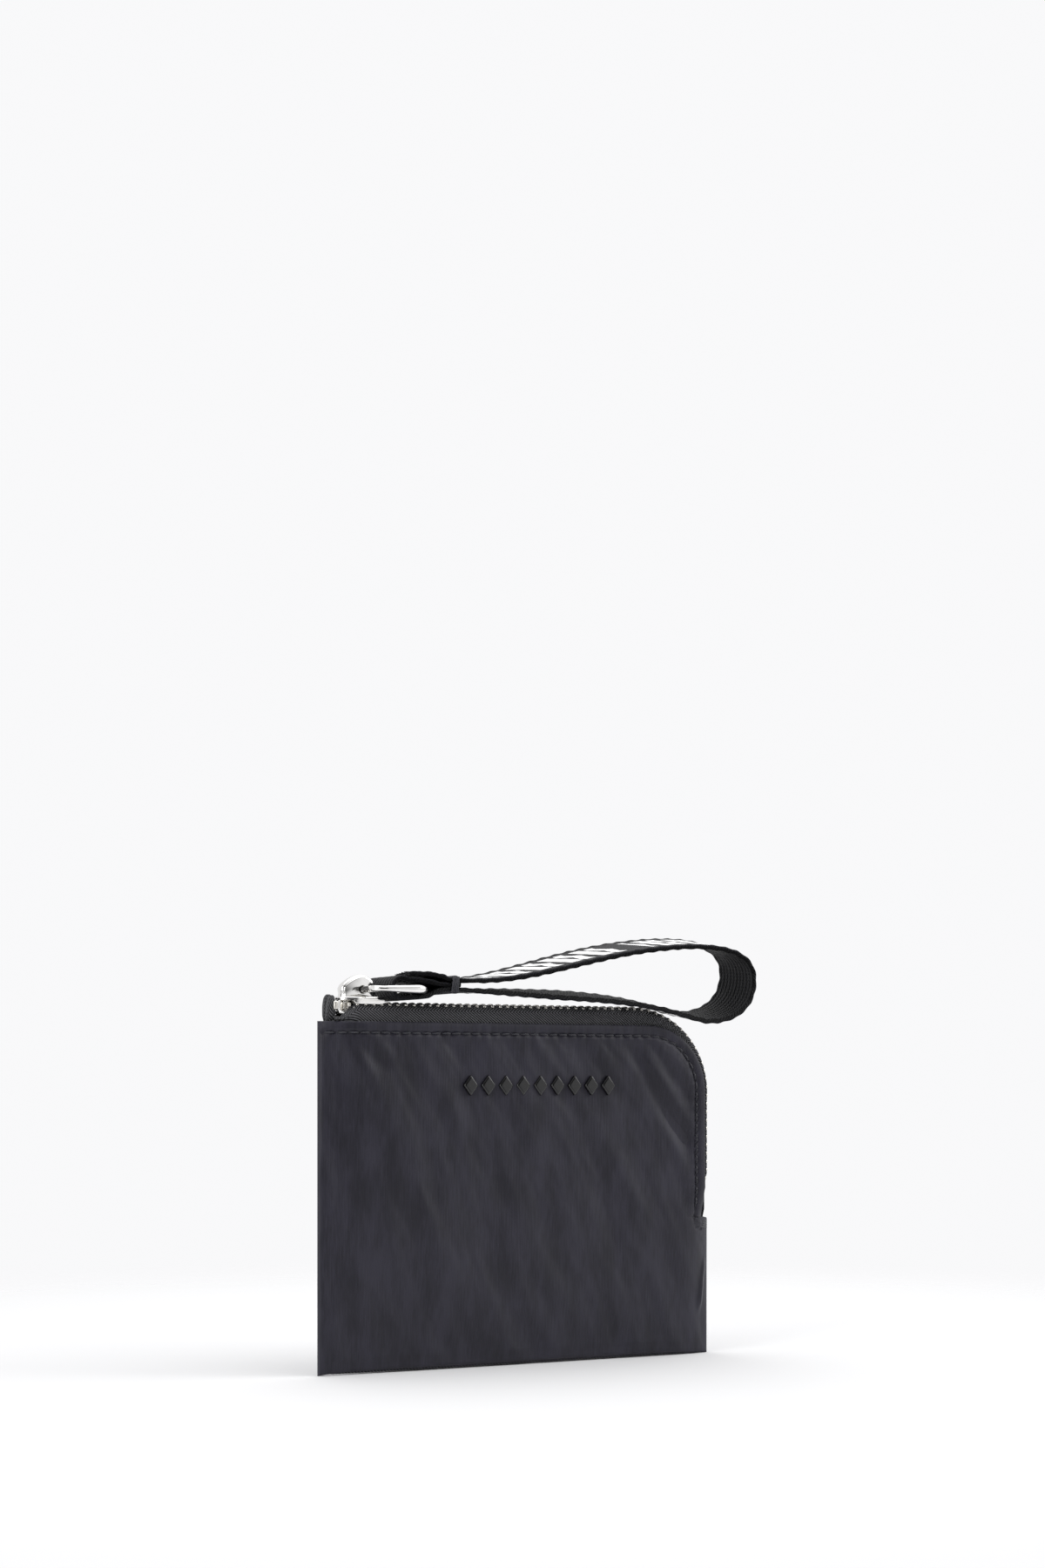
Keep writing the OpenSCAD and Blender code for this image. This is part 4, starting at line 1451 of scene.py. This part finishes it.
class POUCH_OT_lock(bpy.types.Operator):
    """The leaf spring and the pin inside the crown"""

    bl_idname = "pouch.lock"
    bl_label = "Slider lock"

    def execute(self, context):
        low, high = box_mm("lock_spring")
        half, thick = (high[1] - low[1]) / 2, 0.3
        path = [(low[0] + thick / 2, low[2]), (low[0] + thick / 2, high[2] - 0.7),
                (low[0] + 0.5, high[2] - thick / 2 - 0.05), (high[0] - 0.5, high[2] - thick / 2),
                (high[0], high[2] - thick / 2 - 0.1)]
        path = relax(resample([(x, 0, z) for x, z in path], 0.15), 4)
        rings, us, run = [], [], 0.0
        for point, side, up in frames_along(path, Vector((0, 1, 0))):
            run += 0.15
            us.append(run)
            rings.append([tuple(point + side * a * (half - 0.05) + up * b * thick / 2)
                          for a, b in ((-1, -1), (1, -1), (1, 1), (-1, 1))])
        skin = Skin().loft(rings, us, [0, 2, 2.3, 4.3, 4.6])
        skin.make("lock_spring_leaf", "slider", ["spring"], ["lock_spring"], "spring_steel",
                  sharp=30)
        low, high = box_mm("lock_pin")
        foot = (low[0] + 0.25, low[1], CHAIN_Z + TOOTH_RISE + 0.05)
        skin = pillow(Skin(), foot, (low[0] + 0.95, high[1], high[2]), 0.12)
        pillow(skin, (low[0], low[1], high[2] - 0.4), high, 0.12)
        skin.make("lock_pin_steel", "lock", ["spring"], ["lock_pin"], "spring_steel", sharp=30)
        return {"FINISHED"}


class POUCH_OT_ring(bpy.types.Operator):
    """The wire ring, thin in the slider and thick at its far bar"""

    bl_idname = "pouch.ring"
    bl_label = "Puller ring"

    def execute(self, context):
        corner = 3.0
        x0, x1 = BAR_X, RING_HIGH[0] - WIRE_R
        half = RING_HIGH[1] - WIRE_R
        path = []
        arcs = ((x1 - corner, half - corner, 0), (x0 + corner, half - corner, 90),
                (x0 + corner, -half + corner, 180), (x1 - corner, -half + corner, 270))
        for cx, cy, a0 in arcs:
            for k in range(13):
                a = math.radians(a0 + 90 * k / 12)
                path.append((cx + corner * math.cos(a), cy + corner * math.sin(a), RING_Z))
        path.append(path[0])
        path = resample(path, 0.5)[:-1]
        sides = 20
        rings, us = [], []
        n = len(path)
        for i, point in enumerate(path):
            run = (path[(i + 1) % n] - path[i - 1]).normalized()
            out = run.cross(Vector((0, 0, 1)))
            t = clamp((point.x - x0 - 1.5) / (x1 - x0 - 4))
            thin = BAR_R - 0.30 * clamp((point.x - x0) / 2.5)
            r = thin + (WIRE_R + 0.05 - thin) * t ** 0.7
            ring = []
            for j in range(sides):
                a = math.tau * j / sides
                ring.append(tuple(point + out * r * math.cos(a)
                                  + Vector((0, 0, 1)) * r * math.sin(a)))
            rings.append(ring)
            us.append(0.5 * i)
        rings.append(rings[0])
        us.append(0.5 * n)
        skin = Skin().loft(rings, us, [0.35 * j for j in range(sides + 1)], ends=None)
        self.close(skin, n, sides)
        skin.make("puller_ring_wire", "puller", ["hardware"], ["puller_ring"], "hardware",
                  sharp=None)
        return {"FINISHED"}

    def close(self, skin, n, sides):
        """Joins the last ring's faces to the first ring's own points."""
        last = n * sides
        skin.faces = [tuple(i - last if i >= last else i for i in face) for face in skin.faces]
        del skin.points[last:]


# --------------------------------------------------------------- the webbing

class Webbing:
    """Builds bands of webbing: flat faces between two rope-like edges."""

    def __init__(self, scene):
        strap = scene.pouch_strap
        self.half = strap.width / MM / 2
        self.thick = strap.thickness / MM
        self.lay = strap.lay / MM
        self.bead = 0.5 * self.thick + 0.10

    def section(self, run, bulge=0.0):
        """Points of one section, as across and up, with the outer face first."""
        inner = self.half - 1.25
        flat = [-inner + 2 * inner * k / 14 for k in range(15)]
        crown = [0.5 * self.thick + 0.03 * math.cos(math.tau * x / 4) for x in flat]
        face = list(zip(flat, crown))[::-1]
        left = [self.edge(-1, a, run, bulge) for a in (118, 146, 180, 214, 242)]
        right = [self.edge(1, a, run, bulge) for a in (-62, -34, 0, 34, 62)]
        rear = [(x, -up) for x, up in face[::-1]]
        return face + left + rear + right

    def edge(self, side, degrees, run, bulge):
        """A point of the edge's cord, with its strands winding along."""
        a = math.radians(degrees)
        bead = self.bead + bulge
        twist = 2 * a * side - math.tau * run / self.lay * 2
        strand = (0.10 + 0.1 * bulge) * math.cos(twist)
        r = bead - 0.06 + strand
        cx = side * (self.half - bead - 0.05)
        return cx + r * math.cos(a), r * math.sin(a)

    def band(self, skin, path, roll=None, outer=False, swell=None, crumple=0.0, slant=0.0):
        """A band along a path in the X-Z plane. outer prints its outer face,
        swell thickens its edges by place, and slant cuts its start askew."""
        path = [Vector(p) for p in path]
        n = len(path)
        rings, us, run = [], [], 0.0
        for i, point in enumerate(path):
            if i:
                run += (path[i] - path[i - 1]).length
            forward = (path[min(i + 1, n - 1)] - path[max(i - 1, 0)]).normalized()
            up = Vector((-forward.z, 0, forward.x))
            turn = roll(point.x) if roll else 0.0
            bulge = swell(point.x) if swell else 0.0
            ring = []
            for across, high in self.section(run, bulge):
                wave = crumple * noise.noise(Vector((point.x / 1.6, across / 3.0, 5)))
                askew = slant * (1 + across / self.half) / 2 * clamp(1 - run / (3 * slant + 1))
                y = across * math.cos(turn)
                ring.append(tuple(point + Vector((askew, y, across * math.sin(turn)))
                                  + up * (high + wave)))
            rings.append(ring)
            us.append(run)
        section = self.section(0)
        vs, total = [self.half], self.half
        for a, b in zip(section, section[1:] + section[:1]):
            total += math.dist(a, b)
            vs.append(total)
        vs = [v - self.half for v in vs]
        kinds = [1 if outer and j < 14 else 0 for j in range(len(section))]
        skin.loft(rings, us, vs, kinds)
        return skin


STACK_DX, BEND_R = 6.8, 0.625
LOFT = 0.75         # how far the fold's upper layer stands up off the ring
HINGE_X = FOLD_HIGH[0]
FAR_X = RING_HIGH[0] - WIRE_R
LOWER_Z = RING_Z + 0.3
UPPER_Z = LOWER_Z + 2.7


def fold_path(thick):
    """The middle of the webbing: back from the stack under the far bar, round
    the bight's end, and forward over the bar to the stack again."""
    outer_r = (FOLD_HIGH[2] - FOLD_LOW[2]) / 2
    fold = Vector((FOLD_LOW[0] + outer_r, (FOLD_HIGH[2] + FOLD_LOW[2]) / 2))
    r_fold = outer_r - thick / 2
    far, r_far = Vector((FAR_X + 0.2, RING_Z)), WIRE_R + 0.3 + thick / 2
    stack = Vector((FAR_X + STACK_DX, LOWER_Z + BEND_R))
    around = [fold + r_fold * Vector((math.cos(math.radians(a)), math.sin(math.radians(a))))
              + Vector((0, LOFT * clamp(-a - 94, 0, 172) / 172)) for a in range(-94, -267, -8)]
    under = [Vector((HINGE_X, LOWER_Z)), Vector((stack.x, stack.y - BEND_R)),
             Vector((stack.x - 1.5, stack.y - BEND_R - 0.35)),
             Vector((far.x + 0.8, far.y - r_far + 0.2)), Vector((far.x - 1.5, far.y - r_far))]
    over = [Vector((far.x - 4.0, far.y + r_far + LOFT)), Vector((far.x - 1.5, far.y + r_far + LOFT)),
            Vector((far.x + 1.5, far.y + r_far + 0.6 * LOFT - 0.1)),
            Vector((stack.x, stack.y + BEND_R)), Vector((HINGE_X, stack.y + BEND_R))]
    path = [(p.x, 0, p.y) for p in under + around + over]
    return relax(resample(path, 0.4), 3)


class POUCH_OT_strap_fold(bpy.types.Operator):
    """The webbing's fold round the ring's far bar"""

    bl_idname = "pouch.strap_fold"
    bl_label = "Strap fold"

    def execute(self, context):
        webbing = Webbing(context.scene)
        skin = webbing.band(Skin(), fold_path(webbing.thick), crumple=0.05)
        skin.make("strap_anchor_fold_webbing", "puller", ["webbing", "print"],
                  ["strap_anchor_fold"], "webbing", sharp=60)
        return {"FINISHED"}


class POUCH_OT_strap_end(bpy.types.Operator):
    """The sewn-on end, which lies on the fold"""

    bl_idname = "pouch.strap_end"
    bl_label = "Strap end"

    SLANT = 5.0         # how far askew the end is cut

    def execute(self, context):
        webbing = Webbing(context.scene)
        left = END_LOW[0]
        top = END_HIGH[2] - 0.65 + LOFT
        path = [(left, 0, top - 0.15), (left + 3, 0, top - 0.02), (FAR_X + 2.6, 0, top - 0.1),
                (FAR_X + 5.6, 0, top - 0.5), (FAR_X + 8.4, 0, UPPER_Z + 0.12),
                (HINGE_X, 0, UPPER_Z + 0.05)]
        path = relax(resample(path, 0.4), 6)
        skin = webbing.band(Skin(), path, crumple=0.22, outer=True, slant=self.SLANT)
        self.fray(skin, webbing, left, top)
        skin.make("strap_top_end_webbing", "puller", ["webbing", "print"], ["strap_top_end"],
                  "webbing", sharp=60)
        return {"FINISHED"}

    def fray(self, skin, webbing, left, top):
        """Short yarn ends at the cut."""
        spots = random.Random(11)
        for k in range(46):
            y = -webbing.half + 0.5 + (2 * webbing.half - 1) * k / 45
            x = left + self.SLANT * (1 + y / webbing.half) / 2
            z = top + spots.uniform(-0.5, 0.35)
            tip = Vector((x - spots.uniform(0.2, 0.75), y + spots.uniform(-0.3, 0.3),
                          z + spots.uniform(-0.25, 0.3)))
            skin.tube([(x + 0.4, y, z), tuple((Vector((x, y, z)) + tip) / 2), tuple(tip)],
                      [0.13, 0.12, 0.09], 6, Vector((0, 0, 1)))


class POUCH_OT_strap_tack(bpy.types.Operator):
    """The close zigzag tack through all the layers"""

    bl_idname = "pouch.strap_tack"
    bl_label = "Strap tack"

    def execute(self, context):
        low, high = box_mm("strap_bar_tack")
        skin = Skin()
        count = 26
        spots = random.Random(5)
        half = (high[1] - low[1]) / 2 + 0.35
        for level, sign in ((high[2] - 0.30, 1), (low[2] + 0.30, -1)):
            for k in range(count):
                y = -half + 2 * half * k / (count - 1)
                lean = (0.3 if k % 2 else -0.3) + spots.uniform(-0.1, 0.1)
                path = []
                for j in range(7):
                    t = j / 6
                    x = low[0] + (high[0] - low[0]) * t
                    lift = sign * (-0.25 + 0.42 * math.sin(math.pi * t) ** 0.6)
                    path.append((x, y + lean * (t - 0.5), level + lift))
                skin.tube(path, [0.22] * 7, 7, Vector((0, 1, 0)))
        self.wraps(skin, low, high, spots)
        skin.make("strap_bar_tack_thread", "puller", ["thread"], ["strap_bar_tack"], "thread")
        return {"FINISHED"}

    def wraps(self, skin, low, high, spots):
        """Threads that wrap over both edges of the stack."""
        for side in (-1, 1):
            for k in range(5):
                x = low[0] + 0.2 + (high[0] - low[0] - 0.4) * k / 4
                path = []
                for j in range(9):
                    t = j / 8
                    z = low[2] + 0.4 + (high[2] - low[2] - 0.8) * t
                    y = side * (10.0 + 0.25 * math.sin(math.pi * t))
                    path.append((x + 0.5 * (t - 0.5) + spots.uniform(-0.1, 0.1), y, z))
                skin.tube(path, [0.22] * 9, 7, Vector((1, 0, 0)))


def loop_path():
    """The wrist loop's middle line: out along the top, round and back under."""
    leg = HINGE_X + 0.3
    out = SIDE_X + 11.6
    crest, low = UPPER_Z + 13, LOWER_Z - 6.6
    curves = (
        ((leg, UPPER_Z), (leg + 24, UPPER_Z + 0.3), (18, crest - 2.7), (out - 26.6, crest)),
        ((out - 26.6, crest), (out - 10.6, crest + 1.1), (out + 0.6, crest - 0.7),
         (out, UPPER_Z + 2.8)),
        ((out, UPPER_Z + 2.8), (out - 0.4, UPPER_Z - 5.2), (out - 7.6, low - 0.3),
         (out - 17.6, low)),
        ((out - 17.6, low), (out - 26.6, low + 1.3), (44, LOWER_Z - 1), (7, LOWER_Z - 0.5)),
        ((7, LOWER_Z - 0.5), (-3, LOWER_Z - 0.2), (-13, LOWER_Z), (leg, LOWER_Z)))
    points = [curves[0][0]]
    for curve in curves:
        points += [tuple(bezier(curve, j / 40)) for j in range(1, 41)]
    path = [(HINGE_X, 0, UPPER_Z)] + [(x, 0, z) for x, z in points] + [(HINGE_X, 0, LOWER_Z)]
    return resample(path, 0.4)


class POUCH_OT_wrist_strap(bpy.types.Operator):
    """The wrist loop of printed webbing"""

    bl_idname = "pouch.wrist_strap"
    bl_label = "Wrist strap"

    BEND_FROM, BEND_TO = -26.2, -17.5       # two points on the loop's upper leg, passed to make, which does not read them

    def execute(self, context):
        scene = context.scene
        webbing = Webbing(scene)
        roll = scene.pouch_strap.roll

        def turn(x):
            return roll * rise((x - HINGE_X) / 50)

        def swell(x):
            return 0.20 * rise((x - HINGE_X - 1) / 12)

        skin = webbing.band(Skin(), loop_path(), roll=turn, outer=True, crumple=0.06,
                            swell=swell)
        start = (self.BEND_FROM * MM, 0, UPPER_Z * MM)
        end = (self.BEND_TO * MM, 0, UPPER_Z * MM)
        skin.make("wrist_strap_webbing", None, ["webbing", "print"], ["wrist_strap"],
                  "webbing", sharp=60, blend=("puller", "strap", start, end))
        return {"FINISHED"}


# ------------------------------------------------------------------ the stage

BACKDROP = 0.945


class POUCH_OT_stage(bpy.types.Operator):
    """Camera, soft lights and a pale floor"""

    bl_idname = "pouch.stage"
    bl_label = "Stage"

    def execute(self, context):
        scene = context.scene
        scene.view_settings.view_transform = "Standard"
        self.camera(scene)
        self.floor(scene)
        self.world(scene)
        middle = Vector((0, 0, 0.06))
        # Name, place, width and height, and power.
        lights = (("top_box", (0.1, 0.1, 1.4), (1.5, 1.5), 13),
                  ("key_box", (1.2, -0.55, 0.9), (0.8, 0.8), 9),
                  ("fill_box", (-1.2, -0.5, 0.5), (0.5, 1.0), 7))
        for name, place, size, power in lights:
            lamp = bpy.data.lights.new(name, "AREA")
            lamp.shape = "RECTANGLE"
            lamp.size, lamp.size_y = size
            lamp.energy = power
            obj = bpy.data.objects.new(name, lamp)
            obj.location = place
            obj.rotation_euler = (middle - Vector(place)).to_track_quat("-Z", "Y").to_euler()
            scene.collection.objects.link(obj)
        return {"FINISHED"}

    def camera(self, scene):
        lens = bpy.data.cameras.new("camera")
        lens.lens = 53.7
        lens.sensor_width = 36
        lens.shift_y = 0.194
        lens.dof.use_dof = False
        camera = bpy.data.objects.new("camera", lens)
        camera.location = (-0.3243, -0.6119, 0.0815)
        camera.rotation_euler = Vector((0.469, 0.883, 0)).to_track_quat("-Z", "Y").to_euler()
        scene.collection.objects.link(camera)
        scene.camera = camera

    def floor(self, scene):
        mesh = bpy.data.meshes.new("floor")
        sides = 96
        ring = [(math.cos(math.tau * k / sides), math.sin(math.tau * k / sides), -0.00002)
                for k in range(sides)]
        mesh.from_pydata(ring, [], [tuple(range(sides))])
        mesh.materials.append(look_named("floor"))
        floor = bpy.data.objects.new("floor", mesh)
        scene.collection.objects.link(floor)

    def world(self, scene):
        """A white backdrop, with a dim room in front of it that the metal mirrors."""
        world = bpy.data.worlds.new("studio")
        look = Look(world, "Background")
        seen = look.add("ShaderNodeLightPath", out="Is Camera Ray")
        where = look.add("ShaderNodeTexCoord", out="Generated")
        split = look.add("ShaderNodeSeparateXYZ", None, {"Vector": where}).socket.node
        side, back, up = (Value(look, split.outputs[name]) for name in "XYZ")
        front = 1 - back.step(-0.1, 0.3)
        boxes = side.step(0.16, 0.42) * 0.78 + (0 - side).step(0.5, 0.7) * 0.7
        boxes = boxes * (0 - up).step(-0.75, -0.55) + up.step(0.62, 0.8) * 0.75
        room = 0.09 + front * boxes + (1 - front) * 0.72
        light = seen * BACKDROP + (1 - seen) * room
        look.set(Color=look.add("ShaderNodeCombineColor", None,
                                {"Red": light, "Green": light, "Blue": light * 1.01}))
        scene.world = world


class POUCH_PT_sidebar(bpy.types.Panel):
    """Lists the pouch's pieces"""

    bl_label = "Zippered pouch"
    bl_idname = "POUCH_PT_sidebar"
    bl_space_type = "VIEW_3D"
    bl_region_type = "UI"
    bl_category = "Pouch"

    def draw(self, context):
        for settings, group in SETTINGS:
            column = self.layout.column(heading=group.__doc__)
            for name in group.__annotations__:
                column.prop(getattr(context.scene, settings), name)
        for operator in STEPS:
            self.layout.operator(operator.bl_idname)


SETTINGS = (("pouch_cloth", PouchCloth), ("pouch_stitching", PouchStitching),
            ("pouch_zip", PouchZip), ("pouch_strap", PouchStrap), ("pouch_finish", PouchFinish))
STEPS = (POUCH_OT_stage, POUCH_OT_panels, POUCH_OT_linings, POUCH_OT_bottom_seam,
         POUCH_OT_zip_tapes, POUCH_OT_teeth, POUCH_OT_stops, POUCH_OT_tape_ends,
         POUCH_OT_topstitching, POUCH_OT_side_tacks, POUCH_OT_studs, POUCH_OT_slider,
         POUCH_OT_lock, POUCH_OT_ring, POUCH_OT_strap_fold, POUCH_OT_strap_end,
         POUCH_OT_strap_tack, POUCH_OT_wrist_strap)


def register():
    for name, group in SETTINGS:
        bpy.utils.register_class(group)
        setattr(bpy.types.Scene, name, PointerProperty(type=group))
    for cls in STEPS + (POUCH_PT_sidebar,):
        bpy.utils.register_class(cls)


def unregister():
    for cls in reversed(STEPS + (POUCH_PT_sidebar,)):
        bpy.utils.unregister_class(cls)
    for name, group in SETTINGS:
        delattr(bpy.types.Scene, name)
        bpy.utils.unregister_class(group)


def main():
    register()
    for operator in STEPS:
        group, name = operator.bl_idname.split(".")
        getattr(getattr(bpy.ops, group), name)()


if __name__ == "__main__":
    main()
